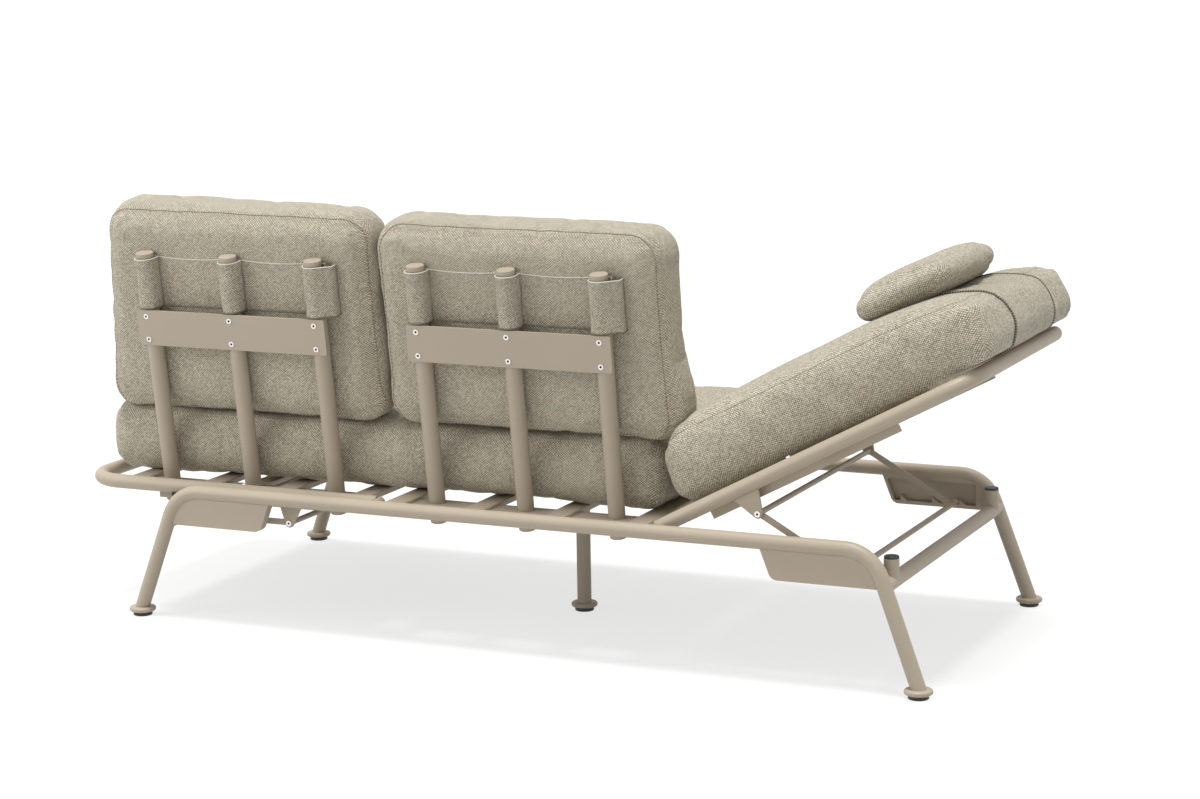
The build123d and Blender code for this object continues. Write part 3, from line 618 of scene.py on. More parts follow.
# %% A soft object
def finish_soft(name, points, faces, place, weave_at, weave_facing, material, subdivide=0):
    """Make the object of a soft piece, with the attributes that its weave reads."""
    placed = [tuple(place @ Vector(p)) for p in points]
    piece = new_piece(name, placed, [tuple(face) for face in faces], material)
    mesh = piece.data
    for label, values in (("weave_at", weave_at), ("weave_facing", weave_facing)):
        layer = mesh.attributes.new(label, "FLOAT_VECTOR", "POINT")
        layer.data.foreach_set("vector", np.asarray(values, dtype=np.float32).ravel())
    mesh.polygons.foreach_set("use_smooth", [True] * len(mesh.polygons))
    if subdivide:
        rounder = piece.modifiers.new("rounder", "SUBSURF")
        rounder.levels = subdivide
        rounder.render_levels = subdivide
        bpy.context.view_layer.update()
        shown = piece.evaluated_get(bpy.context.evaluated_depsgraph_get())
        smooth = bpy.data.meshes.new_from_object(shown)
        piece.modifiers.clear()
        piece.data = smooth
        smooth.name = name
        bpy.data.meshes.remove(mesh)
    return piece


def frame_of(origin, along, up):
    """A placing matrix from an origin and two directions."""
    along = Vector(along).normalized()
    up = Vector(up).normalized()
    side = up.cross(along)
    turn = Matrix((along, side, up)).transposed().to_4x4()
    return Matrix.Translation(Vector(origin)) @ turn


# %% [markdown]
# ### One cushion after another
# All cushions go the same way: a block, its crown, the changes that use has made, the filling and
# last the puckers and the groove along the seams.

# %% One cushion
def keep_shape(points, u, v, w):
    """A block that gets no change of its own."""
    return points


UNEVENNESS = 0.0035
PUCKER_REACH = 0.028
GROOVE_DEPTH = 0.0022
GROOVE_REACH = 0.006


def make_cushion(
    name,
    place,
    size,
    radius,
    seed,
    crown,
    draw,
    most,
    floor_height,
    reshape=keep_shape,
    spacing=0.012,
    puckers=0.0016,
):
    """A filled cushion. Its local origin is the middle of its underside, z up through it.

    The radius rounds its edges along x, y and z. The crown is how far its faces rise, the draw is
    how far its sides are pulled in, and the most is how far the filling may move a point.
    """
    half = np.array(size) / 2
    points, faces, seam = rounded_block(half, radius, spacing)
    u, v, w = (points / half).T
    middle = np.array([0, 0, half[2]])
    # The faces rise to a crown and the sides are drawn in between their corners.
    points[:, 2] += np.sign(w) * np.abs(w) ** 3 * crown * (1 - u**2) * (1 - v**2)
    points[:, 0] -= np.sign(u) * np.abs(u) ** 3 * draw * (1 - v**2)
    points[:, 1] -= np.sign(v) * np.abs(v) ** 3 * draw * (1 - u**2)
    points = reshape(points, u, v, w)
    rest = points.copy()
    # No two sides of a sewn case are quite straight.
    normals = face_normals(points, faces)
    points = points + normals * (UNEVENNESS * wander(points, 0.17, seed))[:, None]
    filled = fill_with_air(points, faces, seam)
    points = limit_motion(points, filled, most)
    # Small puckers stand square to the seams and die away into the panels.
    seam_points = points[seam]
    reach = np.ones(len(points))
    step = max(1, len(seam_points) // 900)
    for n, p in enumerate(points):
        reach[n] = np.sqrt(((seam_points[::step] - p) ** 2).sum(axis=1).min())
    near = np.exp(-reach / PUCKER_REACH)
    groove = GROOVE_DEPTH * np.exp(-((reach / GROOVE_REACH) ** 2))
    normals = face_normals(points, faces)
    waves = wander(points, 0.024, seed + 11) + 0.6 * wander(points, 0.055, seed + 5)
    points = points + normals * (puckers * near * waves - groove)[:, None]
    points = points + middle
    points[:, 2] = np.maximum(points[:, 2], floor_height(points))
    return finish_soft(name, points, faces, place, rest, face_normals(rest, faces), FABRIC, 1)


# %% [markdown]
# ### Where the cushions lie
# Three frames of reference are enough: the level deck, the raised deck and the plane of the posts.

# %% The frames of reference
def back_frame(x, height, depth):
    """The frame of a back cushion: x along the seat, y up the posts, z towards the front."""
    origin = Vector((x, POST_FOOT_Y, POST_FOOT_Z)) + lean_up * height + lean_front * depth
    return frame_of(origin, (1, 0, 0), lean_front)


def deck_point(out, across, up):
    """A point of the raised recliner, from its distances along, across and above the deck."""
    return hinge + rise_along * out + Vector((0, across, 0)) + rise_up * up


# %% [markdown]
# ### What presses on a cushion
# The large cushions lie against something hard: slats, posts or a tube. A floor says how low an
# underside may be at each point, so that it lies flat there and never sinks into the frame.

# %% Floors under the cushions
def flat_floor(points):
    """A level underside."""
    return np.zeros(len(points))


REAR_SWELL = 0.0005


def rear_floor(points):
    """The rear face of a back cushion lies against the posts and swells a little between them."""
    return np.full(len(points), -REAR_SWELL)


# %% [markdown]
# ### How use has changed the cushions
# The filling of a real cushion sinks and its case gives way. The block could be sculpted by hand,
# but a few smooth terms in u, v and w, which run from -1 to 1 across it, can be read and changed.

# %% Changes of shape
def fill_corner(points, u, v, side, level, amount):
    """Push one corner of a back cushion outwards, so that it is rounded less than the others."""
    half_x = np.abs(points[:, 0]).max()
    half_y = np.abs(points[:, 1]).max()
    across = np.clip(1 - (1 - side * u) * half_x / BACK_CORNER, 0, 1)
    upward = np.clip(1 - (1 - level * v) * half_y / BACK_CORNER, 0, 1)
    points[:, 0] += side * amount * across * upward
    points[:, 1] += level * amount * across * upward


# Each fuller corner is a side, a level and how far it is pushed out.
LEFT_FULLER_CORNERS = ((-1, -1, 0.008), (1, -1, 0.024), (-1, 1, 0.014))
CENTRE_FULLER_CORNERS = ((-1, -1, 0.018), (1, -1, 0.012), (-1, 1, 0.014))


def taper_left_back(points, u, v, w):
    """The case is narrower at its upper outer corner, and its filling has sunk to the lower one."""
    for side, level, amount in LEFT_FULLER_CORNERS:
        fill_corner(points, u, v, side, level, amount)
    points[:, 0] -= 0.044 * np.maximum(u, 0) * (v + 1) / 2
    points[:, 1] += (0.0010 + 0.0040 * u) * (v + 1) / 2
    points[:, 1] -= 0.008 * np.maximum(-u, 0) ** 4 * np.maximum(v, 0)
    return points


def bulge_centre_back(points, u, v, w):
    """The filling has sunk: the top is low and the outer side swells over its lower corner."""
    for side, level, amount in CENTRE_FULLER_CORNERS:
        fill_corner(points, u, v, side, level, amount)
    outer = np.maximum(-u, 0)
    points[:, 0] -= 0.004 * outer + 0.018 * outer**3 * np.exp(-(((v + 0.62) / 0.30) ** 2))
    points[:, 1] -= (0.015 - 0.004 * u) * (v + 1) / 2 + 0.004 * outer**4 * np.maximum(v, 0)
    points[:, 1] += 0.004 * (1 - v) / 2
    return points


def swell_seat(points, u, v, w):
    """The seat stands higher along its front edge and at its end, where no back cushion presses."""
    end = np.clip((u - 0.90) / 0.08, 0, 1)
    front = np.maximum(-v, 0)
    points[:, 2] += 0.009 * np.maximum(end * 0.4, front) * np.maximum(w, 0) ** 2
    # The end under the chaise cushion is turned up a little at its lower corner.
    inner = np.clip((-u - 0.93) / 0.07, 0, 1)
    points[:, 2] += 0.014 * inner**2 * np.maximum(-w, 0)
    return points


def lean_chaise(points, u, v, w):
    """The inner end leans against the seat, and the cushion is thinner towards its outer end."""
    height = points[:, 2] - points[:, 2].min()
    top = np.maximum(w, 0) ** 2
    points[:, 0] += 0.12 * height * (1 - u) / 2
    points[:, 2] -= 0.048 * np.maximum(u, 0) ** 4 * top
    points[:, 2] -= 0.034 * (np.maximum(-u - 0.72, 0) / 0.28) ** 2 * top
    return points


# %% [markdown]
# ### The back cushions
# Two boxed cushions of nearly one size stand side by side against their posts. Both are made by
# the same call. What differs is kept in a small table, together with how far their seams have
# slipped down the sides.

# %% Make the back cushions
POST_GAP = 0.0007
BACKS = {
    "left": {
        "start": 0.343,
        "width": 0.7205,
        "unit": LEFT_UNIT_X,
        "seed": 3,
        "reshape": taper_left_back,
        "tucks": (0, 0.012, 0.024, 0.032),
    },
    "centre": {
        "start": -0.346,
        "width": 0.684,
        "unit": 0.0,
        "seed": 8,
        "reshape": bulge_centre_back,
        "tucks": (0, 0, 0, 0.032),
    },
}
cushions = {}
for side, facts in BACKS.items():
    middle_x = facts["start"] + facts["width"] / 2
    place = back_frame(middle_x, BACK_BASE + BACK_HEIGHT / 2, CAP_RADIUS + POST_GAP)
    cushion = make_cushion(
        side + "_back_cushion_cloth",
        place,
        (facts["width"], BACK_HEIGHT, BACK_THICK),
        (BACK_CORNER, BACK_CORNER, 0.048),
        seed=facts["seed"],
        crown=0.006,
        draw=0.004,
        most=0.013,
        floor_height=rear_floor,
        reshape=facts["reshape"],
    )
    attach(cushion, "fixed_frame")
    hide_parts(side + "_back_cushion")
    cushions[side] = (cushion, place)

print("back cushions:", [cushion.name for cushion, _ in cushions.values()])

# %% [markdown]
# ### The seat cushion
# One long cushion lies on the fixed slats and on the flat recliner.

# %% Make the seat cushion
SLAT_GAP = 0.0008
SEAT_SIZE = (1.391, 0.628, 0.160)
SEAT_CORNER = 0.048
SEAT_MIDDLE = (0.3855, -0.042, RAIL_HEIGHT + SLAT_TOP + SLAT_GAP)
seat_place = frame_of(SEAT_MIDDLE, (1, 0, 0), (0, 0, 1))
seat = make_cushion(
    "seat_cushion_cloth",
    seat_place,
    SEAT_SIZE,
    (SEAT_CORNER, 0.052, 0.056),
    seed=14,
    crown=0.004,
    draw=0.002,
    most=0.012,
    floor_height=flat_floor,
    reshape=swell_seat,
)
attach(seat, "fixed_frame")
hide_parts("seat_cushion")
print("seat cushion:", seat.name)

# %% [markdown]
# ### The chaise cushion
# It lies on the raised recliner and rides with it. Its inner end leans against the seat cushion,
# and its outer end lies on the recliner's tube, so its underside steps up there.

# %% Make the chaise cushion
CHAISE_START = 0.034
CHAISE_LENGTH = 0.790
CHAISE_MIDDLE = CHAISE_START + CHAISE_LENGTH / 2
CHAISE_SIZE = (CHAISE_LENGTH, 0.650, 0.172)
CHAISE_CORNER = 0.060
TUBE_STEP_OUT = 0.655
TUBE_STEP_UP = 0.0135


def chaise_floor(points):
    """The underside of the chaise cushion, which steps up over the end of the recliner's tube."""
    out = points[:, 0] + CHAISE_MIDDLE
    return TUBE_STEP_UP * np.clip((out - TUBE_STEP_OUT) / 0.02, 0, 1)


chaise_place = frame_of(deck_point(CHAISE_MIDDLE, 0, SLAT_TOP + SLAT_GAP), rise_along, rise_up)
chaise = make_cushion(
    "chaise_cushion_cloth",
    chaise_place,
    CHAISE_SIZE,
    (CHAISE_CORNER, CHAISE_CORNER, CHAISE_CORNER),
    seed=21,
    crown=0.004,
    draw=0.003,
    most=0.010,
    floor_height=chaise_floor,
    reshape=lean_chaise,
)
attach(chaise, "right_recliner")
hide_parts("chaise_cushion")
print("chaise cushion:", chaise.name)

# %% [markdown]
# ### The headrest pillow
# A small pillow without a boxed edge lies on the outer end of the chaise cushion. It is the same
# block again, with edges that are as round as its thickness allows.

# %% Make the pillow
PILLOW_SIZE = (0.232, 0.400, 0.076)
PILLOW_OUT = 0.6440
PILLOW_UP = 0.1815
pillow_place = frame_of(deck_point(PILLOW_OUT, 0, PILLOW_UP), rise_along, rise_up)
pillow = make_cushion(
    "headrest_pillow_cloth",
    pillow_place,
    PILLOW_SIZE,
    (0.066, 0.075, 0.0375),
    seed=33,
    crown=0.004,
    draw=0.002,
    most=0.006,
    floor_height=flat_floor,
    spacing=0.008,
    puckers=0.0008,
)
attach(pillow, "right_recliner")
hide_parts("headrest_pillow")
print("pillow:", pillow.name)

# %% [markdown]
# ## Seams, sleeves and the headrest band
# A seam is a thin cord that follows the surface. Each of its points is dropped onto the cushion
# from outside, so it lies exactly on the cloth that the simulation made.


# %% Lay things on a surface
def surface_of(piece):
    """A search tree over an object's mesh, in the frame's own coordinates."""
    spots = [vertex.co for vertex in piece.data.vertices]
    return BVHTree.FromPolygons(spots, [tuple(face.vertices) for face in piece.data.polygons])


def drop(tree, start, towards, lift):
    """Where a line from start towards a point first meets the surface, raised by lift."""
    direction = (towards - start).normalized()
    hit, normal, _, _ = tree.ray_cast(start, direction)
    if hit is None:
        hit, normal, _, _ = tree.find_nearest(start)
    if normal.dot(direction) > 0:
        normal = -normal
    return hit + normal * lift, normal


# %% A round cord
def cord_mesh(name, path, radius, material, closed, sides=6):
    """A round cord along a path, with its length stored for the stitches."""
    count = len(path)
    points = []
    lengths = []
    faces = []
    run = 0.0
    for n, p in enumerate(path):
        before = path[n - 1] if n or closed else p
        after = path[(n + 1) % count] if n < count - 1 or closed else p
        tangent = (after - before).normalized()
        side = tangent.orthogonal().normalized()
        if n:
            run += (p - path[n - 1]).length
            side = (last_side - tangent * last_side.dot(tangent)).normalized()
        last_side = side
        other = tangent.cross(side)
        for m in range(sides):
            turn = 2 * pi * m / sides
            points.append(p + radius * (side * cos(turn) + other * sin(turn)))
            lengths.append(run)
    loops = count if closed else count - 1
    for n in range(loops):
        for m in range(sides):
            a = n * sides + m
            b = n * sides + (m + 1) % sides
            c = ((n + 1) % count) * sides + (m + 1) % sides
            d = ((n + 1) % count) * sides + m
            faces.append((a, b, c, d))
    if not closed:
        faces.append(tuple(range(sides))[::-1])
        faces.append(tuple(range((count - 1) * sides, count * sides)))
    piece = new_piece(name, [tuple(p) for p in points], faces, material)
    layer = piece.data.attributes.new("seam_at", "FLOAT", "POINT")
    layer.data.foreach_set("value", lengths)
    piece.data.polygons.foreach_set("use_smooth", [True] * len(faces))
    return piece


# %% [markdown]
# ### Where the seams run
# A boxed cushion has a seam round each of its two large faces. Seen square on, each is a rounded
# rectangle, so the path is made as one and then dropped onto the cushion. Of the seat cushion and
# the chaise cushion only the upper seam is made, because the deck hides the other.

# %% Seams round the cushions
def rim_path(half_x, half_y, corner, step):
    """A rounded rectangle as evenly spaced points with their outward directions."""
    straight_x = half_x - corner
    straight_y = half_y - corner
    runs = [2 * straight_y, corner * pi / 2, 2 * straight_x, corner * pi / 2] * 2
    total = sum(runs)
    count = int(total / step)
    path = []
    for n in range(count):
        s = total * n / count
        part = 0
        while s > runs[part]:
            s -= runs[part]
            part += 1
        quarter = part // 2
        if part % 2 == 0:
            sides = (
                (half_x, -straight_y + s, 1, 0),
                (straight_x - s, half_y, 0, 1),
                (-half_x, straight_y - s, -1, 0),
                (-straight_x + s, -half_y, 0, -1),
            )
            path.append(sides[quarter])
        else:
            turn = s / corner + quarter * pi / 2
            centre_x = straight_x if quarter in (0, 3) else -straight_x
            centre_y = straight_y if quarter in (0, 1) else -straight_y
            x = centre_x + corner * cos(turn)
            y = centre_y + corner * sin(turn)
            path.append((x, y, cos(turn), sin(turn)))
    return path


SEAM_RADIUS = 0.0011
SEAM_LIFT = 0.0002
SEAM_STEP = 0.006
SEAM_EDGE = 0.03


def add_seams(owner, place, size, corner, body, levels, thread, tucks=(0, 0, 0, 0)):
    """Stitched seams round the top and the bottom edge of a boxed cushion.

    The tucks say how far the seam lies down the sides that look to +x, +y, -x and -y.
    """
    tree = surface_of(owner)
    for label, level in levels:
        path = []
        for x, y, out_x, out_y in rim_path(size[0] / 2, size[1] / 2, corner, SEAM_STEP):
            up = 1 if level > 0.5 else -1
            reaches = (out_x, out_y, -out_x, -out_y)
            tuck = sum(amount * max(0.0, reach) for amount, reach in zip(tucks, reaches))
            height = (size[2] if up > 0 else 0.0) - up * tuck
            rise = up * SEAM_EDGE * max(0.0, 1 - tuck / SEAM_EDGE)
            away = Vector((out_x * SEAM_EDGE, out_y * SEAM_EDGE, rise))
            rim = Vector((x, y, height))
            spot, _ = drop(tree, place @ (rim + away), place @ (rim - 1.6 * away), SEAM_LIFT)
            path.append(spot)
        name = owner.name.replace("_cloth", "") + "_" + label + "_seam"
        seam = cord_mesh(name, path, SEAM_RADIUS, thread, True)
        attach(seam, body)


for side, facts in BACKS.items():
    cushion, place = cushions[side]
    case = (facts["width"], BACK_HEIGHT, BACK_THICK)
    both = (("rear", 0.0), ("front", 1.0))
    add_seams(cushion, place, case, BACK_CORNER, "fixed_frame", both, STITCH, facts["tucks"])
top = (("top", 1.0),)
add_seams(seat, seat_place, SEAT_SIZE, SEAT_CORNER, "fixed_frame", top, SOFT_STITCH)
add_seams(chaise, chaise_place, CHAISE_SIZE, CHAISE_CORNER, "right_recliner", top, SOFT_STITCH)
print("seams laid")


# %% [markdown]
# ### Sleeves over the posts
# Each back cushion hangs on its three posts by sleeves of the same cloth. A sleeve runs round the
# rear of its post and forward to a panel that is sewn flat on the cushion.

# %% A sheet of cloth with its hems
def sheet_piece(name, rows, outward, weave_rows, thickness, body, flat, rests_on):
    """A thin sheet of cloth through a grid of points, with a little thickness."""
    height = len(rows)
    width = len(rows[0])
    front = [p for row in rows for p in row]
    lift = [n for row in outward for n in row]
    back = [p - n * thickness for p, n in zip(front, lift)]
    points = front + back
    total = height * width
    faces = []
    for a in range(height - 1):
        for b in range(width - 1):
            n = a * width + b
            quad = (n, n + 1, n + width + 1, n + width)
            faces.append(quad)
            faces.append(tuple(total + m for m in quad[::-1]))
    rim = list(range(width))
    rim += [a * width + width - 1 for a in range(1, height)]
    rim += [(height - 1) * width + b for b in range(width - 2, -1, -1)]
    rim += [a * width for a in range(height - 2, 0, -1)]
    for n, m in zip(rim, rim[1:] + rim[:1]):
        faces.append((m, n, total + n, total + m))
    flat_at = [p for row in weave_rows for p in row] * 2
    facing = [(0, 0, 1)] * len(points)
    piece = finish_soft(name, points, faces, Matrix.Identity(4), flat_at, facing, STRAP)
    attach(piece, body)
    return piece


def add_hems(name, hems):
    """Thin cords along the edges of a sheet: for each a label, a path, a radius and a material."""
    for label, path, radius, material in hems:
        hem = cord_mesh(name + "_" + label + "_hem", path, radius, material, False)
        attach(hem, "fixed_frame")


# %% The sleeves
SLEEVE_RADIUS = POST_RADIUS + 0.0050
SLEEVE_REACH = CAP_RADIUS + 0.0002
SLEEVE_THICKNESS = 0.0016
SLEEVE_LEVELS = 26
HALF_TURN_STEPS = 22
END_SPREAD = 0.023
SLEEVE_WOBBLE = 0.0011
TOP_HEM_RADIUS = 0.0011
LOW_HEM_RADIUS = 0.0017


def sleeve_profile():
    """Seen from above, the cloth runs back, round the rear of the post and forward again.

    Each point is a distance across, a distance towards the front and the length so far.
    """
    half_turn = pi * SLEEVE_RADIUS
    profile = [(SLEEVE_RADIUS, SLEEVE_REACH * (1 - n / 2), SLEEVE_REACH * n / 2) for n in (0, 1)]
    for n in range(HALF_TURN_STEPS + 1):
        turn = pi * n / HALF_TURN_STEPS
        run = SLEEVE_RADIUS * turn + SLEEVE_REACH
        profile.append((SLEEVE_RADIUS * cos(turn), -SLEEVE_RADIUS * sin(turn), run))
    for n in (1, 2):
        profile.append((-SLEEVE_RADIUS, SLEEVE_REACH * n / 2, half_turn + (1 + n / 2) * SLEEVE_REACH))
    return profile


def add_sleeves(side, unit_x, seed):
    """Three sleeves with their hems."""
    cushion, _ = cushions[side]
    for number in range(3):
        foot = Vector((unit_x + POST_PITCH * (number - 1), POST_FOOT_Y, POST_FOOT_Z))
        rows = []
        normals = []
        weave_rows = []
        for level in range(SLEEVE_LEVELS + 1):
            share = level / SLEEVE_LEVELS
            height = SLEEVE_LOW + (SLEEVE_HIGH - SLEEVE_LOW) * share
            flare = 1.0 + 0.10 * max(0.0, 0.25 - share)
            flare += 0.02 * sin(9 * share + seed + number)
            row = []
            normal_row = []
            weave_row = []
            for x, front, run in sleeve_profile():
                chance = Vector((x * 30 + seed, front * 30, share * 3 + number))
                wobble = SLEEVE_WOBBLE * noise.noise(chance)
                away = Vector((1 if x > 0 else -1, 0))
                if front < 0:
                    away = Vector((x, -front)).normalized()
                # The first sleeve runs on into the panel's end, so it stands off the post there.
                spread = 0.0
                if number == 0 and x < 0:
                    spread = END_SPREAD * min(1.0, max(0.0, 1 + front / SLEEVE_RADIUS)) ** 2
                across = x * flare + away.x * wobble - spread
                forward = (front * flare if front < 0 else front) - away.y * wobble
                spot = foot + Vector((across, 0, 0)) + lean_up * height + lean_front * forward
                row.append(spot)
                normal_row.append(Vector((away.x, 0, 0)) - lean_front * away.y)
                weave_row.append((run + spread + number * 0.2, height, 0.0))
            rows.append(row)
            normals.append(normal_row)
            weave_rows.append(weave_row)
        middle = rows[SLEEVE_LEVELS // 2]
        length = sum((q - p).length for p, q in zip(middle, middle[1:]))
        flat = (length, SLEEVE_HIGH - SLEEVE_LOW)
        name = side + "_sleeve_" + str(number + 1)
        grids = (rows, normals, weave_rows)
        sleeve = sheet_piece(name, *grids, SLEEVE_THICKNESS, "fixed_frame", flat, [cushion.name])
        if number == 1:
            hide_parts(side + "_sleeves")
        top = ("top", rows[-1], TOP_HEM_RADIUS, THREAD)
        low = ("low", rows[0], LOW_HEM_RADIUS, STRAP_HEM)
        add_hems(name, (top, low))


# %% [markdown]
# ### The panel behind the sleeves
# The panel lies on the cushion, so each of its points is dropped onto it from the rear. A flat
# strip would cut through the swell of the cushion.

# %% The panels
PANEL_THICKNESS = 0.0012
PANEL_SAG = 0.006
PANEL_HEM_RADIUS = 0.0010
PANEL_COLUMNS = 80
PANEL_LEVELS = 16


def add_panel(side, unit_x):
    """The panel that joins the sleeves, flat on the cushion. Its upper edge sags between posts."""
    cushion, _ = cushions[side]
    tree = surface_of(cushion)
    rows = []
    normals = []
    weave_rows = []
    for level in range(PANEL_LEVELS + 1):
        row = []
        normal_row = []
        weave_row = []
        for n in range(PANEL_COLUMNS + 1):
            x = unit_x + PANEL_SHIFT + PANEL_WIDTH * (n / PANEL_COLUMNS - 0.5)
            bay = (x - unit_x) / POST_PITCH
            sag = PANEL_SAG * sin(pi * (bay - floor(bay))) if abs(bay) < 1 else 0.0
            top = SLEEVE_HIGH + 0.001 - sag
            height = SLEEVE_LOW - 0.004 + (top - SLEEVE_LOW + 0.004) * level / PANEL_LEVELS
            base = Vector((x, POST_FOOT_Y, POST_FOOT_Z)) + lean_up * height
            behind = base - lean_front * 0.1
            spot, normal = drop(tree, behind, base + lean_front * 0.2, PANEL_THICKNESS)
            row.append(spot)
            normal_row.append(normal)
            weave_row.append((x + 0.5, height + 0.13, 0.0))
        rows.append(row)
        normals.append(normal_row)
        weave_rows.append(weave_row)
    flat = (PANEL_WIDTH, SLEEVE_HIGH - SLEEVE_LOW + 0.002)
    name = side + "_panel"
    grids = (rows, normals, weave_rows)
    sheet_piece(name, *grids, PANEL_THICKNESS, "fixed_frame", flat, [cushion.name])
    first_end = [row[0] for row in rows]
    last_end = [row[-1] for row in rows]
    edges = (("top", rows[-1]), ("end_a", first_end), ("end_b", last_end))
    add_hems(name, [(label, path, PANEL_HEM_RADIUS, THREAD) for label, path in edges])


for side, facts in BACKS.items():
    add_sleeves(side, facts["unit"], facts["seed"])
    add_panel(side, facts["unit"])
print("sleeves and panels made")

# %% [markdown]
# ### The headrest band
# The band comes out from under the headrest pillow, goes over the end of the chaise cushion and
# back under it. Its two long edges are overlocked with a dark thread.

# %% Wrap the band over the end of the chaise cushion
BAND_WIDTH = 0.281
BAND_START = 0.560
BAND_CORE = (0.700, 0.090)
BAND_LIFT = 0.0022
BAND_THICKNESS = 0.0018
BAND_EDGE_RADIUS = 0.0024
FLAT_STEPS = 10
TURN_STEPS = 44
ACROSS_STEPS = 30
RAY_REACH = 0.25
chaise_tree = surface_of(chaise)


def band_line():
    """Rays that wrap round the cushion's end.

    Each is a start and an aim, given as distances out along the deck and up from it.
    """
    rays = []
    for n in range(FLAT_STEPS):
        out = BAND_START + (BAND_CORE[0] - BAND_START) * n / FLAT_STEPS
        rays.append(((out, 0.30), (out, 0.09)))
    for n in range(TURN_STEPS + 1):
        turn = pi / 2 - pi * n / TURN_STEPS
        start = (BAND_CORE[0] + RAY_REACH * cos(turn), BAND_CORE[1] + RAY_REACH * sin(turn))
        rays.append((start, BAND_CORE))
    return rays


rows = []
normals = []
weave_rows = []
run = 0.0
columns = [BAND_WIDTH * (m / ACROSS_STEPS - 0.5) for m in range(ACROSS_STEPS + 1)]
middle = ACROSS_STEPS // 2
for start, aim in band_line():
    row = []
    normal_row = []
    for across in columns:
        above = deck_point(start[0], across, start[1])
        below = deck_point(aim[0], across, aim[1])
        spot, normal = drop(chaise_tree, above, below, BAND_LIFT)
        row.append(spot)
        normal_row.append(normal)
    if rows:
        run += (row[middle] - rows[-1][middle]).length
    rows.append(row)
    normals.append(normal_row)
    weave_rows.append([(across, run, 0.0) for across in columns])
grids = (rows, normals, weave_rows)
flat = (BAND_WIDTH, run)
name = "headrest_band_cloth"
band = sheet_piece(name, *grids, BAND_THICKNESS, "right_recliner", flat, [chaise.name])
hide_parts("headrest_band")
for label, column in (("a", 0), ("b", -1)):
    path = [row[column] for row in rows]
    edge = cord_mesh("headrest_band_edge_" + label, path, BAND_EDGE_RADIUS, OVERLOCK, False, 8)
    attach(edge, "right_recliner")
print("band length:", round(run, 3))

# %% [markdown]
# ## Light, floor and camera
# The floor is a plain pale plane under soft light from above and from the left, with a painted shadow
# under the lounger.

# %% The floor
def seen_directly(tree):
    """One where the eye or a polished surface meets something, and nought for all other light."""
    path = add_node(tree, "ShaderNodeLightPath")
    return maths(tree, "MAXIMUM", path.outputs["Is Camera Ray"], path.outputs["Is Glossy Ray"])


FLOOR_HALF = 60.0
FEET_X = 0.921
FEET_Y = 0.398
PAINTED_SHADOW_SOFTNESS = 0.035
FLOOR_GLOW = 0.84
PAINTED_SHADOW_DEPTH = 0.125
floor_material, floor_tree, floor_shader = start_material("floor_paint")
quarters = ((-1, -1), (1, -1), (1, 1), (-1, 1))
floor_corners = [(FLOOR_HALF * x, FLOOR_HALF * y, 0) for x, y in quarters]
studio_floor = new_piece("floor", floor_corners, [(0, 1, 2, 3)], floor_material)
floor_shader.inputs["Emission Color"].default_value = (1, 1, 1, 1)
# The photograph's floor is white with one even grey shadow, as wide and long as the feet stand.
# The floor's glow is only for the eye and lights nothing, and it is weaker in that rectangle: a painted
# shadow.
floor_place = add_node(floor_tree, "ShaderNodeTexCoord")
floor_at = add_node(floor_tree, "ShaderNodeSeparateXYZ", {0: floor_place.outputs["Object"]})
inside = 1.0
for axis, reach in ((0, FEET_X), (1, FEET_Y)):
    away = maths(floor_tree, "ABSOLUTE", floor_at.outputs[axis])
    edge = maths(floor_tree, "SUBTRACT", reach, away)
    limits = {0: edge, 1: -PAINTED_SHADOW_SOFTNESS, 2: PAINTED_SHADOW_SOFTNESS}
    ramp = add_node(floor_tree, "ShaderNodeMapRange", limits, interpolation_type="SMOOTHSTEP")
    inside = maths(floor_tree, "MULTIPLY", ramp.outputs[0], inside)
# Inside the rectangle the glow drops by the depth of the painted shadow.
glow = maths(floor_tree, "MULTIPLY_ADD", inside, -PAINTED_SHADOW_DEPTH, FLOOR_GLOW)
seen = seen_directly(floor_tree)
strength = maths(floor_tree, "MULTIPLY", seen, glow)
floor_tree.links.new(strength, floor_shader.inputs["Emission Strength"])
floor_paint = mix_colour(floor_tree, seen, (0.60, 0.60, 0.60, 1), (0.18, 0.18, 0.18, 1))
floor_tree.links.new(floor_paint, floor_shader.inputs["Base Color"])
floor_shader.inputs["Roughness"].default_value = 0.9
floor_shader.inputs["Specular IOR Level"].default_value = 0.1
print("floor:", studio_floor.name)

# %% [markdown]
# ### The lights
# A white world lights the lounger softly from all round. A wide sun stands above it, and a large
# lamp on the left gives the tubes their long highlights.

# %% The world and the lamps
world = bpy.data.worlds.new("studio")
bpy.context.scene.world = world
world.use_nodes = True
# Where the eye or a polished head meets the world it is white. Its light on the lounger is weaker.
WORLD_LIGHT = 0.54
world_tree = world.node_tree
background = world_tree.nodes["Background"]
background.inputs["Color"].default_value = (1.0, 1.0, 1.0, 1)
strength = maths(world_tree, "MULTIPLY_ADD", seen_directly(world_tree), 1 - WORLD_LIGHT, WORLD_LIGHT)
world_tree.links.new(strength, background.inputs["Strength"])


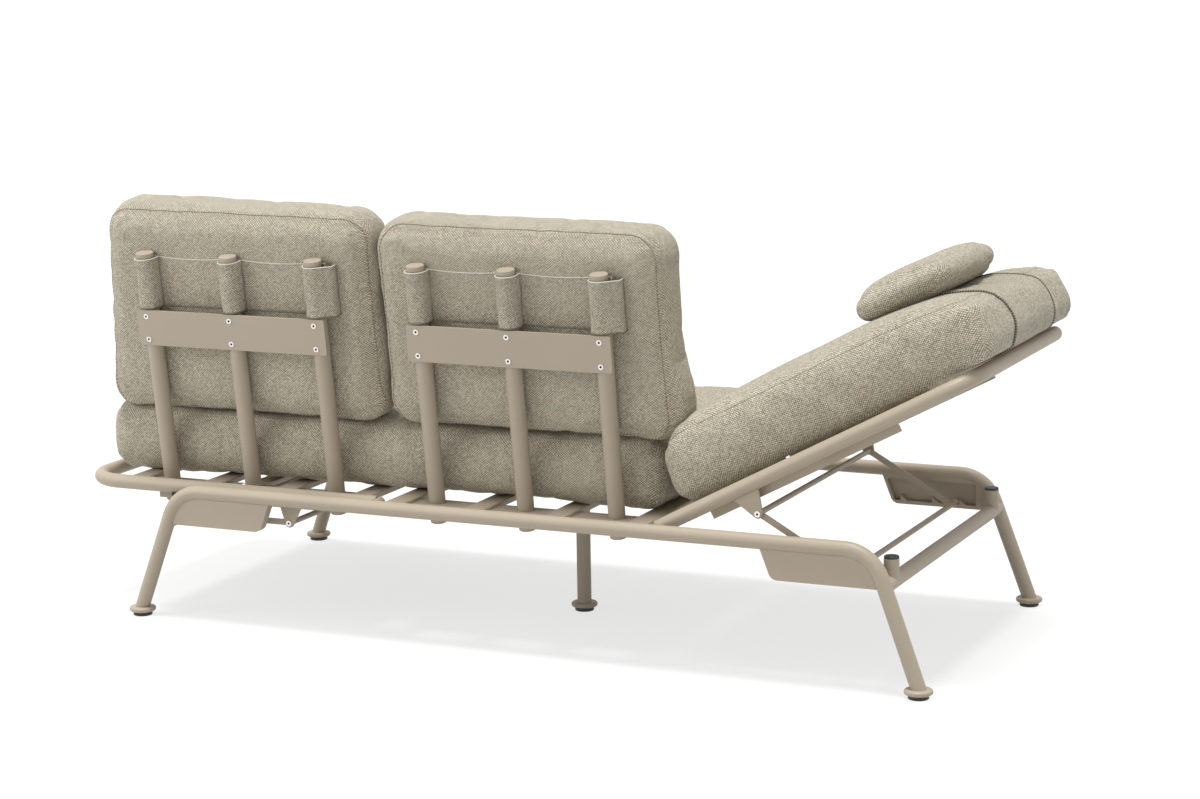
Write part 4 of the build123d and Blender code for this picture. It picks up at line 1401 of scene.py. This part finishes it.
def add_lamp(name, spot, aim, size, power):
    """A square area lamp that looks at a point."""
    lamp = bpy.data.lights.new(name, "AREA")
    lamp.shape = "SQUARE"
    lamp.size = size
    lamp.energy = power
    holder = bpy.data.objects.new(name, lamp)
    holder.location = spot
    holder.rotation_euler = (Vector(aim) - Vector(spot)).to_track_quat("-Z", "Y").to_euler()
    bpy.context.scene.collection.objects.link(holder)


SOFTBOX_AT = (3.4, 3.0, 2.6)
SOFTBOX_AIM = (0.3, 0, 0.5)
SOFTBOX_SIZE = 2.2
SOFTBOX_POWER = 62
SUN_STRENGTH = 2.6
SUN_SPREAD = radians(16.0)
SUN_TILT = radians(-3.0)
add_lamp("left_softbox", SOFTBOX_AT, SOFTBOX_AIM, SOFTBOX_SIZE, SOFTBOX_POWER)
sun = bpy.data.lights.new("overhead", "SUN")
sun.energy = SUN_STRENGTH
sun.angle = SUN_SPREAD
sun_holder = bpy.data.objects.new("overhead", sun)
sun_holder.rotation_euler = (SUN_TILT, 0, 0)
bpy.context.scene.collection.objects.link(sun_holder)
bpy.context.scene.view_settings.view_transform = "Standard"

# %% [markdown]
# ### The camera
# The camera stands behind the lounger, to the right of its middle, and looks slightly down.

# %% Set the camera
CAMERA_AT = (-2.64380, 5.67536, 1.63403)
CAMERA_YAW = -0.42923
CAMERA_PITCH = 0.18180
CAMERA_ROLL = -0.01550
CAMERA_LENS = 85.5
level = -cos(CAMERA_PITCH)
forward = Vector((level * sin(CAMERA_YAW), level * cos(CAMERA_YAW), -sin(CAMERA_PITCH)))
rightward = Vector((-cos(CAMERA_YAW), sin(CAMERA_YAW), 0))
upward = rightward.cross(forward)
tilted_right = rightward * cos(CAMERA_ROLL) + upward * sin(CAMERA_ROLL)
tilted_up = upward * cos(CAMERA_ROLL) - rightward * sin(CAMERA_ROLL)
camera = bpy.data.cameras.new("camera")
camera.sensor_width = 36.0
camera.lens = CAMERA_LENS
camera.clip_end = 300.0
camera_holder = bpy.data.objects.new("camera", camera)
camera_turn = Matrix((tilted_right, tilted_up, -forward)).transposed().to_4x4()
camera_holder.matrix_world = Matrix.Translation(CAMERA_AT) @ camera_turn
bpy.context.scene.collection.objects.link(camera_holder)
bpy.context.scene.camera = camera_holder
print("camera at", CAMERA_AT)
